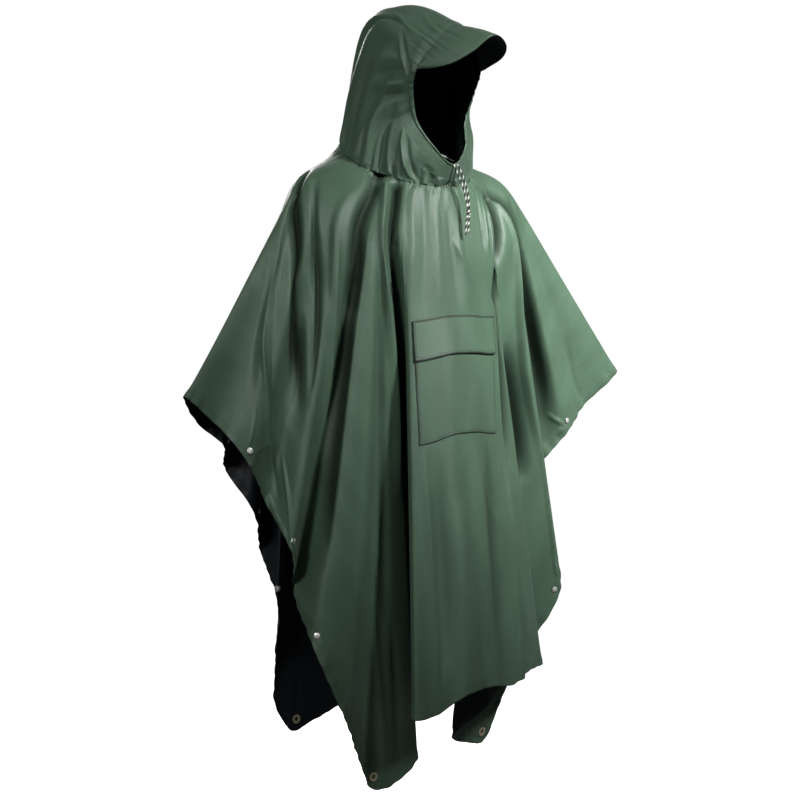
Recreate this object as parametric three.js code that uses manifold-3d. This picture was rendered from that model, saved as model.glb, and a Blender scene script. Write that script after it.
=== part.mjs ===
// A hooded rain poncho, worn, made of coated ripstop cloth: one long sheet with a hood
// sewn into its middle, a brim, a flapped patch pocket, a drawcord, eyelets and snaps.
// Millimetres, +Z up, the wearer faces -Y and +X is the wearer's left.
// The origin is the middle of the neck opening at shoulder height, where a wearer carries it.
import * as THREE from 'three';
import { mergeVertices } from 'three/addons/utils/BufferGeometryUtils.js';
import Module from 'manifold-3d';

const wasm = await Module();
wasm.setup();

const { sin, cos, abs, sqrt, hypot, min, max, PI } = Math;
const TINY = 1e-6;
const radians = (degrees) => (degrees * PI) / 180;
// Nought at both ends of a stretch and one in its middle
const hump = (part) => 4 * part * (1 - part);

// The cut of the sheet, laid flat, measured from the middle of the neck hole
const HALF_WIDTH = 728;
const FRONT_LENGTH = 1072;
const BACK_LENGTH = 1098;
const CORNER_RADIUS = 26;
const FOLD_LINE_BEHIND_NECK = (BACK_LENGTH - FRONT_LENGTH) / 2;

// The cloth and the seams
const CLOTH = 2;
const SEAM_GAP = 0.3;

// Where the sheet leaves the neck seam and where it rounds the shoulders
const NECK_RADIUS = 125;
const SHOULDER_RADIUS = 250;
const YOKE = SHOULDER_RADIUS - NECK_RADIUS;
const BEND = 55;
const NECK = { halfWidth: 120, halfDepth: 133, middleZ: -21, frontDrop: 50 };
const SHOULDER = { halfWidth: 240, halfDepth: 160 };

// The fall of the sheet. Each row is one line of cloth that runs from the shoulder to the edge:
// its angle at the edge and at the shoulder (degrees on the flat sheet, 0 in front, minus on the
// wearer's right), the place in plan of its lower end, and the length taken up by small creases
const FALL_COLUMNS = ['name', 'edgeAngle', 'shoulderAngle', 'x', 'y', 'takenUp'];
const FALL = [
  ['front middle', 0, 0, 0, -232, 12],
  ['panel crest right', -2.4, -6, -45, -252, 8],
  ['panel dip right', -4.6, -13, -88, -238, -18],
  ['panel edge right', -7.8, -23, -146, -238, -20],
  ['pleat right, turning in', -10, -25.5, -122, -196, 0],
  ['pleat right, deep', -18, -28.5, 82, -122, 0],
  ['pleat right, coming back', -20.5, -30, 66, -88, 0],
  ['flank turned under right', -24.6, -31.3, -66, -78, 0],
  ['flank tuck right', -28.6, -32.7, -42, -100, -16],
  ['flank crest right', -31.4, -34.2, -108, -118, -14],
  ['front corner right', -34.2, -35.8, -162, -118, 15],
  ['flank right', -39.5, -39, -245, -166, 0],
  ['front snap 3 right', -46.6, -43, -313, -154, 0],
  ['front hollow 3 right', -52, -47, -292, -60, 0],
  ['front snap 2 right', -57.8, -57, -334, -122, -10],
  ['front hollow 2 right', -65.5, -66, -352, -60, 0],
  ['front snap 1 right', -73.2, -74, -408, -98, 0],
  ['front hollow 1 right', -81, -82, -446, -62, 14],
  ['arm right', -90, -90, -512, -52, 12],
  ['behind arm right', -98, -98, -440, 26, 0],
  ['back snap 1 right', -106.3, -106, -392, 18, 0],
  ['back hollow 1 right', -114, -113, -356, 74, 0],
  ['back snap 2 right', -121.4, -120, -318, 40, -10],
  ['back hollow 2 right', -129, -127, -254, 116, -10],
  ['back snap 3 right', -135.3, -134, -250, 64, 0],
  ['back flank right', -141, -140, -224, 116, 0],
  ['back flank low right', -144, -143, -216, 130, 0],
  ['back corner right', -146.5, -146, -176, 130, 15],
  ['back turn right', -152, -151, -48, 146, -10],
  ['back valley right', -159, -158, 60, 160, 0],
  ['back crest right', -167, -168, -84, 240, 0],
  ['back second crest right', -172, -172.5, -42, 296, 0],
  ['back dip right', -177.5, -178, 0, 222, 0],
  ['back middle', 177.3, 177.5, 34, 298, 0],
  ['back dip left', 172.5, 173, 66, 236, 0],
  ['back crest left', 168, 169, 120, 292, 0],
  ['back valley left', 161, 161, 150, 180, 0],
  ['back turn left', 153.5, 153, 262, 262, 0],
  ['back corner left', 146.5, 146, 222, 140, 15],
  ['back snap 3 left', 137, 138, 318, 150, 0],
  ['back hollow 2 left', 130, 131, 262, 72, 0],
  ['back snap 2 left', 122, 124, 345, 118, 0],
  ['back hollow 1 left', 114, 115, 340, 48, 0],
  ['back snap 1 left', 106.3, 107, 420, 92, 0],
  ['behind arm left', 98, 98, 452, 54, 0],
  ['arm left', 90, 90, 528, -8, 0],
  ['front hollow 1 left', 81.5, 82, 448, 2, 0],
  ['front snap 1 left', 73.2, 74, 388, -22, 18],
  ['front hollow 2 left', 64, 65, 318, 12, 0],
  ['front snap 2 left', 56, 56, 296, -24, 0],
  ['ridge left', 47.5, 44, 340, -62, 0],
  ['flank left', 40.5, 38, 262, -22, 0],
  ['front corner left', 34.2, 34.6, 200, 10, 15],
  ['flank tuck left', 29.4, 32.5, 96, -26, 0],
  ['pleat left, going in', 25, 31, 142, -70, 20],
  ['pleat left, turning', 20.5, 27.5, 230, -60, 50],
  ['panel turn left', 17, 23.5, 270, -84, 25],
  ['panel wrap left', 11.5, 19, 196, -142, 20],
  ['panel dip left', 7, 13, 128, -176, 0],
  ['panel crest left', 3, 6, 56, -218, 12],
];

// The hood. Each row is one line of cloth from the neck seam to the edge of the face opening, on
// the wearer's left: the angle at the neck, the place of its upper end, and the two points that
// pull the line outwards on its way (a cubic curve)
const HOOD_COLUMNS = ['angle', 'ex', 'ey', 'ez', 'ax', 'ay', 'az', 'bx', 'by', 'bz'];
const HOOD_LINES = [
  [0, 0, -154, -29, 0, -142, -56, 0, -150, -43],
  [25, 34, -144, 2, 50, -126, -40, 43, -140, -14],
  [50, 54, -117, 50, 92, -88, -8, 76, -106, 32],
  [75, 68, -124, 100, 102, -34, 44, 94, -82, 92],
  [105, 73, -141, 142, 94, 20, 112, 98, -60, 194],
  [130, 57, -152, 174, 66, 50, 252, 84, 6, 278],
  [155, 36, -165, 201, 52, 91, 328, 58, -20, 272],
  [180, 0, -172, 222, 0, 100, 342, 0, -20, 286],
];

// The long soft folds that rise from the gathered neck seam into the hood
const HOOD_FOLD_COLUMNS = ['angle', 'halfWidth', 'height', 'reach'];
const HOOD_FOLDS = [
  [-22, 9, -5, 0.5],
  [-41, 8, 6, 0.7],
  [-60, 9, -5, 0.6],
  [-78, 8, 7, 0.8],
  [-97, 9, -6, 0.6],
  [-116, 9, 6, 0.7],
  [-137, 10, -6, 0.6],
  [-160, 9, 6, 0.7],
  [175, 10, -5, 0.5],
  [150, 9, 7, 0.7],
  [128, 9, -6, 0.6],
  [106, 9, 6, 0.7],
  [84, 9, -6, 0.7],
  [62, 8, 6, 0.6],
  [40, 9, -5, 0.6],
  [20, 8, 4, 0.5],
];

// The brim: the place of each point of its free edge; the first row, under the chin, only closes
// the curve
const BRIM_COLUMNS = ['angle', 'x', 'y', 'z'];
const BRIM_EDGE = [
  [0, 0, -154, -17],
  [-105, -72, -150, 141],
  [-120, -62, -180, 143],
  [-140, -44, -214, 151],
  [-160, -20, -244, 172],
  [180, 4, -258, 196],
  [160, 30, -256, 199],
  [140, 58, -240, 182],
  [120, 72, -204, 162],
  [105, 75, -152, 146],
];
const BRIM_THICKNESS = 2.6;
const BRIM_ARCH = 4.5;

// The patch pocket and its flap, on the flat sheet
const POCKET = { halfWidth: 101, top: 370, height: 218, cloth: 1.2, standOff: 1.3, fullness: 2.6 };
const FLAP = { halfWidth: 102.5, height: 72, cloth: 1.2, standOff: 0.5, lift: 2.5, above: 5 };

// Eyelets and snaps
const EYELET = { inset: 25, bore: 4.6, barrel: 5.8, flange: 9, slotHalf: 1.6, flangeThickness: 0.9 };
const EYELET_HOLE_RADIUS = 6.2;
const EYELET_ROOM = 4;
const EYELET_SIDES = 12;
const SNAP = { inset: 20, radius: 6, height: 2, standOff: 0.5, fromFoldLine: [220, 460, 700] };
const SNAP_ROOM = 3;
const SNAP_SIDES = 8;

// The drawcord
const CORD_RADIUS = 1.7;
const CORD_SIDES = 8;
const CORD_KNOT = { x: 27, y: -165.5, z: -118, halfWidth: 4.6, halfHeight: 5.6, sides: 10, rings: 8 };
const CORD_ROUTES = {
  drawcord_strand_right: {
    steps: 16,
    points: [[1, -155.4, -31], [4, -158.3, -41], [11, -158.5, -54], [18, -159, -69], [22.5, -161, -86],
      [24.6, -163.5, -102], [25.4, -165, -111.6]],
  },
  drawcord_strand_left: {
    steps: 16,
    points: [[8, -155.4, -29.5], [13, -158.3, -39.5], [19.5, -158.5, -53], [25.5, -159, -68],
      [29.4, -161, -85], [29.6, -163.5, -101], [28.9, -165, -111.6]],
  },
  drawcord_tail_right: {
    steps: 8,
    points: [[25.2, -165.5, -124.5], [22, -166, -134], [20.2, -166.5, -146], [20, -167.5, -160]],
  },
  drawcord_tail_left: {
    steps: 7,
    points: [[29, -165.8, -124.5], [27.2, -166.8, -132], [25.6, -167.5, -142], [25.4, -168.5, -156]],
  },
};

const CLOTH_LOOK = { color: 0x4f6a55, roughness: 0.42, metalness: 0 };
const BRASS_LOOK = { color: 0xb9a878, roughness: 0.35, metalness: 1 };
const STEEL_LOOK = { color: 0xb8bcb8, roughness: 0.3, metalness: 1 };
const CORD_LOOK = { color: 0x2a2d2a, roughness: 0.8, metalness: 0 };

const poncho = new THREE.Group();

function addPiece(name, geometry, look) {
  const mesh = new THREE.Mesh(geometry, new THREE.MeshStandardMaterial(look));
  mesh.name = name;
  poncho.add(mesh);
  return mesh;
}

function namedRows(columns, rows) {
  return rows.map((row) => Object.fromEntries(columns.map((column, k) => [column, row[k]])));
}

// A smooth curve through the rows of a closed table: a cubic between neighbours, whose slope at
// each row is the weighted mean of the slopes on both sides. Returns the columns at an angle
function loopCurve(rows, angleColumn, columns) {
  const turned = rows
    .map((row) => ({ ...row, at: (row[angleColumn] + 360) % 360 }))
    .sort((one, other) => one.at - other.at);
  const count = turned.length;
  const knot = (k) => turned[((k % count) + count) % count].at + 360 * Math.floor(k / count);
  const value = (k, column) => turned[((k % count) + count) % count][column];
  const slope = (k, column) => {
    const before = knot(k) - knot(k - 1);
    const after = knot(k + 1) - knot(k);
    const slopeBefore = (value(k, column) - value(k - 1, column)) / before;
    const slopeAfter = (value(k + 1, column) - value(k, column)) / after;
    return (slopeBefore * after + slopeAfter * before) / (before + after);
  };
  return (angle) => {
    let at = ((angle % 360) + 360) % 360;
    if (at < knot(0)) at += 360;
    let k = 0;
    while (k < count - 1 && knot(k + 1) <= at) k += 1;
    const span = knot(k + 1) - knot(k);
    const x = (at - knot(k)) / span;
    const result = {};
    for (const column of columns) {
      result[column] = (2 * x ** 3 - 3 * x ** 2 + 1) * value(k, column)
        + (x ** 3 - 2 * x ** 2 + x) * span * slope(k, column)
        + (3 * x ** 2 - 2 * x ** 3) * value(k + 1, column)
        + (x ** 3 - x ** 2) * span * slope(k + 1, column);
    }
    return result;
  };
}

// Distance on the flat sheet from the middle of the neck hole to the cut edge, with round corners
function edgeRadius(degrees) {
  const across = abs(sin(radians(degrees)));
  const along = abs(cos(radians(degrees)));
  const length = cos(radians(degrees)) > 0 ? FRONT_LENGTH : BACK_LENGTH;
  const straight = min(HALF_WIDTH / max(across, TINY), length / max(along, TINY));
  const centreX = HALF_WIDTH - CORNER_RADIUS;
  const centreY = length - CORNER_RADIUS;
  if (straight * across <= centreX || straight * along <= centreY) return straight;
  const abreast = centreX * across + centreY * along;
  return abreast + sqrt(max(0, abreast ** 2 - centreX ** 2 - centreY ** 2 + CORNER_RADIUS ** 2));
}

function flatPoint(degrees, radius) {
  return { x: radius * sin(radians(degrees)), y: -radius * cos(radians(degrees)) };
}

function neckPoint(degrees) {
  const angle = radians(degrees);
  return {
    x: NECK.halfWidth * sin(angle),
    y: -NECK.halfDepth * cos(angle),
    z: NECK.middleZ - NECK.frontDrop * cos(angle),
  };
}

function shoulderPlan(degrees) {
  const angle = radians(degrees);
  return { x: SHOULDER.halfWidth * sin(angle), y: -SHOULDER.halfDepth * cos(angle) };
}

const fallRows = namedRows(FALL_COLUMNS, FALL).map((row) => {
  const edge = flatPoint(row.edgeAngle, edgeRadius(row.edgeAngle));
  const start = flatPoint(row.shoulderAngle, SHOULDER_RADIUS);
  const length = hypot(edge.x - start.x, edge.y - start.y);
  const shoulder = shoulderPlan(row.shoulderAngle);
  return {
    ...row,
    leanX: (row.x - shoulder.x) / length,
    leanY: (row.y - shoulder.y) / length,
    lag: row.shoulderAngle - row.edgeAngle,
    shrink: row.takenUp / length,
  };
});
const fallAt = loopCurve(fallRows, 'edgeAngle', ['leanX', 'leanY', 'lag', 'shrink']);

// One line of cloth from the neck seam over the shoulder to the edge. In plan it leaves the neck
// with one lean, turns smoothly where it rounds the shoulder, and runs on with another; its height
// falls by the length of cloth that the plan leaves over
function lineOfCloth(edgeAngle) {
  const fall = fallAt(edgeAngle);
  const shoulderAngle = edgeAngle + fall.lag;
  const neck = neckPoint(shoulderAngle);
  const shoulder = shoulderPlan(shoulderAngle);
  const first = { x: (shoulder.x - neck.x) / YOKE, y: (shoulder.y - neck.y) / YOKE };
  const start = flatPoint(shoulderAngle, SHOULDER_RADIUS);
  const edge = flatPoint(edgeAngle, edgeRadius(edgeAngle));
  const reach = hypot(edge.x - start.x, edge.y - start.y);
  return { ...fall, edgeAngle, shoulderAngle, neck, first, start, edge, length: YOKE + reach };
}

const BEND_STEPS = 8;

function pointOnLine(line, distance) {
  const bendStart = YOKE - BEND;
  const bendEnd = YOKE + BEND;
  const turned = min(max((distance - bendStart) / (2 * BEND), 0), 1);
  const ramp = distance > bendEnd ? distance - YOKE : 2 * BEND * (turned ** 3 - turned ** 4 / 2);
  const x = line.neck.x + line.first.x * distance + (line.leanX - line.first.x) * ramp;
  const y = line.neck.y + line.first.y * distance + (line.leanY - line.first.y) * ramp;
  let drop = min(distance, bendStart) * sqrt(1 - line.first.x ** 2 - line.first.y ** 2);
  for (let k = 0; k < BEND_STEPS; k += 1) {
    const part = ((k + 0.5) / BEND_STEPS) * turned;
    const mix = part * part * (3 - 2 * part);
    const leanX = line.first.x + (line.leanX - line.first.x) * mix;
    const leanY = line.first.y + (line.leanY - line.first.y) * mix;
    drop += ((turned * 2 * BEND) / BEND_STEPS) * sqrt(1 - leanX ** 2 - leanY ** 2);
  }
  const steep = sqrt(1 - line.leanX ** 2 - line.leanY ** 2) * (1 - line.shrink);
  drop += max(distance - bendEnd, 0) * steep;
  return new THREE.Vector3(x, y, line.neck.z - drop);
}

const ANGLE_STEP = 0.4;
const LENGTH_STEP = 4;

// The sheet's outer face at a line and a distance, with its outward normal
function sheetFace(edgeAngle, distance) {
  const point = pointOnLine(lineOfCloth(edgeAngle), distance);
  const down = pointOnLine(lineOfCloth(edgeAngle), distance + LENGTH_STEP)
    .sub(pointOnLine(lineOfCloth(edgeAngle), distance - LENGTH_STEP));
  const round = pointOnLine(lineOfCloth(edgeAngle + ANGLE_STEP), distance)
    .sub(pointOnLine(lineOfCloth(edgeAngle - ANGLE_STEP), distance));
  return { point, normal: down.cross(round).normalize() };
}

const SEARCH_ANGLE = 20;
const HALVINGS = 40;

// Finds the line of cloth that runs through a point of the flat sheet, by halving
function sheetFaceAtFlat(x, y) {
  const middle = (Math.atan2(x, -y) * 180) / PI;
  const side = (angle) => {
    const line = lineOfCloth(angle);
    return (line.edge.x - line.start.x) * (y - line.start.y)
      - (line.edge.y - line.start.y) * (x - line.start.x);
  };
  let low = middle - SEARCH_ANGLE;
  let high = middle + SEARCH_ANGLE;
  const lowSign = side(low) > 0;
  for (let k = 0; k < HALVINGS; k += 1) {
    const half = (low + high) / 2;
    if (side(half) > 0 === lowSign) low = half;
    else high = half;
  }
  const line = lineOfCloth(low);
  return sheetFace(low, YOKE + hypot(x - line.start.x, y - line.start.y));
}

// A closed wall of even thickness between a grid of outer points and the same grid moved inwards.
// A grid whose last column meets its first is closed round; the others get four rims
function wall(outer, inner, closedRound) {
  const rows = outer.length;
  const columns = outer[0].length;
  const vertices = [...outer.flat(), ...inner.flat()];
  const offset = rows * columns;
  const at = (i, j, layer) => layer * offset + i * columns + (j % columns);
  const faces = [];
  const quad = (a, b, c, d) => faces.push(a, b, c, a, c, d);
  const lastColumn = closedRound ? columns : columns - 1;
  for (let i = 0; i < rows - 1; i += 1) {
    for (let j = 0; j < lastColumn; j += 1) {
      quad(at(i, j, 0), at(i + 1, j, 0), at(i + 1, j + 1, 0), at(i, j + 1, 0));
      quad(at(i, j, 1), at(i, j + 1, 1), at(i + 1, j + 1, 1), at(i + 1, j, 1));
    }
  }
  for (let j = 0; j < lastColumn; j += 1) {
    quad(at(0, j, 0), at(0, j + 1, 0), at(0, j + 1, 1), at(0, j, 1));
    quad(at(rows - 1, j, 0), at(rows - 1, j, 1), at(rows - 1, j + 1, 1), at(rows - 1, j + 1, 0));
  }
  for (let i = 0; i < rows - 1 && !closedRound; i += 1) {
    quad(at(i, 0, 0), at(i, 0, 1), at(i + 1, 0, 1), at(i + 1, 0, 0));
    const j = columns - 1;
    quad(at(i, j, 0), at(i + 1, j, 0), at(i + 1, j, 1), at(i, j, 1));
  }
  const geometry = new THREE.BufferGeometry();
  geometry.setAttribute('position', new THREE.Float32BufferAttribute(
    vertices.flatMap((vertex) => [vertex.x, vertex.y, vertex.z]), 3));
  geometry.setIndex(faces);
  return geometry;
}

// The body sheet: columns follow the rows of the table, with steps between them, and one more on
// each side of a rounded corner
const LARGEST_STEP = 3.2;
const CORNER_STEP = 1;
const SHORT_SPAN = 1.5;

function sheetColumns(from, to) {
  const onward = (row) => row.edgeAngle + (row.edgeAngle < from - TINY ? 360 : 0);
  const corners = fallRows.filter((row) => row.name.includes('corner')).map(onward);
  const knots = [...fallRows.map(onward),
    ...corners.flatMap((angle) => [angle - CORNER_STEP, angle + CORNER_STEP]),
  ].filter((angle) => angle > from && angle < to);
  knots.push(from, to);
  knots.sort((one, other) => one - other);
  const columns = [];
  knots.slice(0, -1).forEach((knot, k) => {
    const span = knots[k + 1] - knot;
    const steps = max(span > SHORT_SPAN ? 2 : 1, Math.ceil(span / LARGEST_STEP));
    for (let step = 0; step < steps; step += 1) columns.push(knot + (span * step) / steps);
  });
  columns.push(to);
  return columns;
}

// Rows of points: distances from the neck seam over the shoulder, then parts of the way to the edge
const YOKE_ROWS = [0, 35, 70, 97, 125, 153, 180];
const SKIRT_ROWS = [0.07, 0.18, 0.38, 0.58, 0.79, 1];
const SHARPEST_MITRE = 0.32;

// The inner face of a wall at one point of a folded ring: along the line that halves the fold, as
// far in as keeps the wall even on both sides of it
function innerPoint(point, before, after, down) {
  const one = down.clone().cross(point.clone().sub(before)).normalize();
  const other = down.clone().cross(after.clone().sub(point)).normalize();
  const middle = one.clone().add(other).normalize();
  return point.clone().addScaledVector(middle, -CLOTH / max(middle.dot(other), SHARPEST_MITRE));
}

function sheetGrid(from, to) {
  const columns = sheetColumns(from, to);
  const outer = [];
  const inner = [];
  for (let i = 0; i < YOKE_ROWS.length + SKIRT_ROWS.length; i += 1) {
    const distanceAt = (angle) => {
      const last = YOKE_ROWS[YOKE_ROWS.length - 1];
      if (i < YOKE_ROWS.length) return YOKE_ROWS[i];
      return last + (lineOfCloth(angle).length - last) * SKIRT_ROWS[i - YOKE_ROWS.length];
    };
    const pointAt = (angle) => pointOnLine(lineOfCloth(angle), distanceAt(angle));
    const ring = columns.map(pointAt);
    const atSeam = (j) => j === 0 || j === columns.length - 1;
    outer.push(ring);
    inner.push(columns.map((angle, j) => {
      const line = lineOfCloth(angle);
      const down = pointOnLine(line, distanceAt(angle) + LENGTH_STEP)
        .sub(pointOnLine(line, distanceAt(angle) - LENGTH_STEP));
      const before = atSeam(j) ? pointAt(angle - SHORT_SPAN) : ring[j - 1];
      const after = atSeam(j) ? pointAt(angle + SHORT_SPAN) : ring[j + 1];
      return innerPoint(ring[j], before, after, down);
    }));
  }
  for (const layer of [outer, inner]) {
    for (const row of layer) {
      const last = row.length - 1;
      const ends = [[0, 1], [last, last - 1]];
      const moves = ends.map(([end, next]) => row[next].clone().sub(row[end]).setLength(SEAM_GAP / 2));
      ends.forEach(([end], k) => row[end].add(moves[k]));
    }
  }
  return wall(outer, inner, false);
}

// Joining and cutting closed meshes
function solidOf(geometry) {
  const bare = geometry.clone();
  bare.deleteAttribute('normal');
  bare.deleteAttribute('uv');
  const merged = mergeVertices(bare);
  return new wasm.Manifold(new wasm.Mesh({
    numProp: 3,
    vertProperties: new Float32Array(merged.attributes.position.array),
    triVerts: new Uint32Array(merged.index.array),
  }));
}

function geometryOf(solid) {
  const mesh = solid.getMesh();
  const geometry = new THREE.BufferGeometry();
  geometry.setAttribute('position', new THREE.Float32BufferAttribute(mesh.vertProperties, 3));
  geometry.setIndex([...mesh.triVerts]);
  return geometry;
}

// The sheet is made of flat facets, so what is fastened to it is seated on the facet that it meets
const sheetGrids = {
  front: sheetGrid(-90, 90),
  back: sheetGrid(90, 270),
};
const seatMeshes = Object.values(sheetGrids).map((geometry) => new THREE.Mesh(
  geometry, new THREE.MeshBasicMaterial({ side: THREE.FrontSide })));
const SEAT_SEARCH = 25;

function seatAtFlat(x, y) {
  const { point, normal } = sheetFaceAtFlat(x, y);
  const from = point.clone().addScaledVector(normal, SEAT_SEARCH);
  const ray = new THREE.Raycaster(from, normal.clone().negate(), 0, 2 * SEAT_SEARCH);
  const hits = ray.intersectObjects(seatMeshes)
    .sort((one, other) => one.point.distanceTo(point) - other.point.distanceTo(point));
  if (hits.length === 0) return { point, normal, smooth: normal };
  return { point: hits[0].point, normal: hits[0].face.normal.clone(), smooth: normal };
}

const UP = new THREE.Vector3(0, 1, 0);
const eyeletPlaces = [
  { name: 'eyelet_front_right', x: -1, y: -(FRONT_LENGTH - EYELET.inset) },
  { name: 'eyelet_front_left', x: 1, y: -(FRONT_LENGTH - EYELET.inset) },
  { name: 'eyelet_back_right', x: -1, y: BACK_LENGTH - EYELET.inset },
  { name: 'eyelet_back_left', x: 1, y: BACK_LENGTH - EYELET.inset },
].map((place) => {
  const { point, normal } = seatAtFlat(place.x * (HALF_WIDTH - EYELET.inset), place.y);
  return { ...place, normal, middle: point.clone().addScaledVector(normal, -CLOTH / 2) };
});

const snapPlaces = [];
for (const [side, sign] of [['right', -1], ['left', 1]]) {
  SNAP.fromFoldLine.forEach((distance, k) => {
    for (const [half, away] of [['front', -distance], ['back', distance]]) {
      const y = FOLD_LINE_BEHIND_NECK + away;
      const seat = seatAtFlat(sign * (HALF_WIDTH - SNAP.inset), y);
      snapPlaces.push({ name: `snap_${half}_${side}_${k + 1}`, y, ...seat });
    }
  });
}

function turned(outline, sides, normal, origin) {
  const points = outline.map(([radius, height]) => new THREE.Vector2(radius, height));
  const geometry = new THREE.LatheGeometry(points, sides);
  geometry.applyQuaternion(new THREE.Quaternion().setFromUnitVectors(UP, normal));
  return geometry.translate(...origin.toArray());
}

// The cloth gives way by the seam gap round each eyelet and each snap that is clinched into it
function eyeletRoom(place) {
  const inner = EYELET.slotHalf - SEAM_GAP;
  const outer = EYELET.slotHalf + EYELET.flangeThickness + EYELET_ROOM;
  const rim = EYELET.flange + SEAM_GAP;
  return [
    turned([[0, -outer], [rim, -outer], [rim, -inner], [0, -inner]], EYELET_SIDES, place.normal,
      place.middle),
    turned([[0, -inner * 2], [EYELET_HOLE_RADIUS, -inner * 2], [EYELET_HOLE_RADIUS, inner * 2],
      [0, inner * 2]], EYELET_SIDES, place.normal, place.middle),
    turned([[0, inner], [rim, inner], [rim, outer], [0, outer]], EYELET_SIDES, place.normal,
      place.middle),
  ];
}

function snapRoom(place) {
  const rim = SNAP.radius + SEAM_GAP;
  const low = SNAP.standOff - SEAM_GAP;
  const high = SNAP.height + SNAP_ROOM;
  const outline = [[0, low], [rim, low], [rim, high], [0, high]];
  const inwards = place.normal.clone().negate();
  const inside = place.point.clone().addScaledVector(inwards, CLOTH);
  return [
    turned(outline, SNAP_SIDES, place.normal, place.point),
    turned(outline, SNAP_SIDES, inwards, inside),
  ];
}

function buildSheetHalf(name, grid, isFront) {
  let solid = solidOf(grid);
  const here = (each) => (each.y < 0) === isFront;
  const rooms = [
    ...eyeletPlaces.filter(here).flatMap(eyeletRoom),
    ...snapPlaces.filter(here).flatMap(snapRoom),
  ];
  for (const room of rooms) solid = solid.subtract(solidOf(room));
  addPiece(name, geometryOf(solid), CLOTH_LOOK);
}

buildSheetHalf('front_sheet', sheetGrids.front, true);
buildSheetHalf('back_sheet', sheetGrids.back, false);

function buildEyelet(place) {
  const flangeTop = EYELET.slotHalf + EYELET.flangeThickness;
  const outline = [
    [EYELET.bore, -flangeTop], [EYELET.flange, -flangeTop], [EYELET.flange, -EYELET.slotHalf],
    [EYELET.barrel, -EYELET.slotHalf], [EYELET.barrel, EYELET.slotHalf],
    [EYELET.flange, EYELET.slotHalf], [EYELET.flange, flangeTop], [EYELET.bore, flangeTop],
    [EYELET.bore, -flangeTop],
  ].map(([radius, height]) => new THREE.Vector2(radius, height));
  const ring = addPiece(place.name, new THREE.LatheGeometry(outline, EYELET_SIDES), BRASS_LOOK);
  ring.position.copy(place.middle);
  ring.quaternion.setFromUnitVectors(UP, place.normal);
}

eyeletPlaces.forEach(buildEyelet);

// A snap shows as a domed cap on the outer face and a socket on the inner face
function buildSnap({ name, point, normal }) {
  const outline = [[0, 0], [SNAP.radius, 0], [SNAP.radius, SNAP.height / 2],
    [SNAP.radius / 2, SNAP.height], [0, SNAP.height]]
    .map(([radius, height]) => new THREE.Vector2(radius, height));
  const sides = [
    { piece: `${name}_cap`, out: normal.clone(), from: SNAP.standOff },
    { piece: `${name}_socket`, out: normal.clone().negate(), from: SNAP.standOff + CLOTH },
  ];
  for (const { piece, out, from } of sides) {
    const button = addPiece(piece, new THREE.LatheGeometry(outline, SNAP_SIDES), STEEL_LOOK);
    button.position.copy(point).addScaledVector(out, from);
    button.quaternion.setFromUnitVectors(UP, out);
  }
}

snapPlaces.forEach(buildSnap);

const PATCH_COLUMNS = 14;
const POCKET_ROWS = 6;
const FLAP_ROWS = 3;

// A patch laid on the front sheet: a grid on the flat cut, moved out from the sheet's own points
function patchGrid(area, rows, standOff) {
  const outer = [];
  const inner = [];
  for (let i = 0; i <= rows; i += 1) {
    const outerRow = [];
    const innerRow = [];
    for (let j = 0; j <= PATCH_COLUMNS; j += 1) {
      const x = area.halfWidth * ((2 * j) / PATCH_COLUMNS - 1);
      const y = -(area.top + (area.height * i) / rows);
      const { point, smooth } = seatAtFlat(x, y);
      const out = standOff(j / PATCH_COLUMNS, i / rows);
      innerRow.push(point.clone().addScaledVector(smooth, out));
      outerRow.push(point.clone().addScaledVector(smooth, out + area.cloth));
    }
    outer.push(outerRow);
    inner.push(innerRow);
  }
  return wall(outer, inner, false);
}

const pocketStandOff = (across, down) => POCKET.standOff
  + POCKET.fullness * hump(across) * hump(down);
addPiece('pocket', patchGrid(POCKET, POCKET_ROWS, pocketStandOff), CLOTH_LOOK);

const flapArea = { ...FLAP, top: POCKET.top - FLAP.above };
const flapStandOff = (across, down) => {
  const onPocket = max(0, down * flapArea.height - FLAP.above) / POCKET.height;
  const pocketFace = pocketStandOff(across, onPocket) + POCKET.cloth;
  return FLAP.standOff + pocketFace + FLAP.lift * down * down;
};
addPiece('pocket_flap', patchGrid(flapArea, FLAP_ROWS, flapStandOff), CLOTH_LOOK);

// The hood, as lines of cloth from the neck seam to the face opening
const hoodRight = namedRows(HOOD_COLUMNS, HOOD_LINES);
const hoodLeft = hoodRight.filter((row) => row.angle > 0 && row.angle < 180)
  .map((row) => ({ ...row, angle: -row.angle, ex: -row.ex, ax: -row.ax, bx: -row.bx }));
const hoodAt = loopCurve([...hoodRight, ...hoodLeft], 'angle', HOOD_COLUMNS.slice(1));
const hoodFolds = namedRows(HOOD_FOLD_COLUMNS, HOOD_FOLDS);

function hoodPlain(angle, rise) {
  const row = hoodAt(angle);
  const neck = neckPoint(angle);
  const weights = [(1 - rise) ** 3, 3 * rise * (1 - rise) ** 2, 3 * rise ** 2 * (1 - rise), rise ** 3];
  const along = (a, b, c, d) => weights[0] * a + weights[1] * b + weights[2] * c + weights[3] * d;
  return new THREE.Vector3(
    along(neck.x, row.ax, row.bx, row.ex),
    along(neck.y, row.ay, row.by, row.ey),
    along(neck.z + SEAM_GAP, row.az, row.bz, row.ez),
  );
}

const HOOD_FOLD_AT_SEAM = 0.12;

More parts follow.
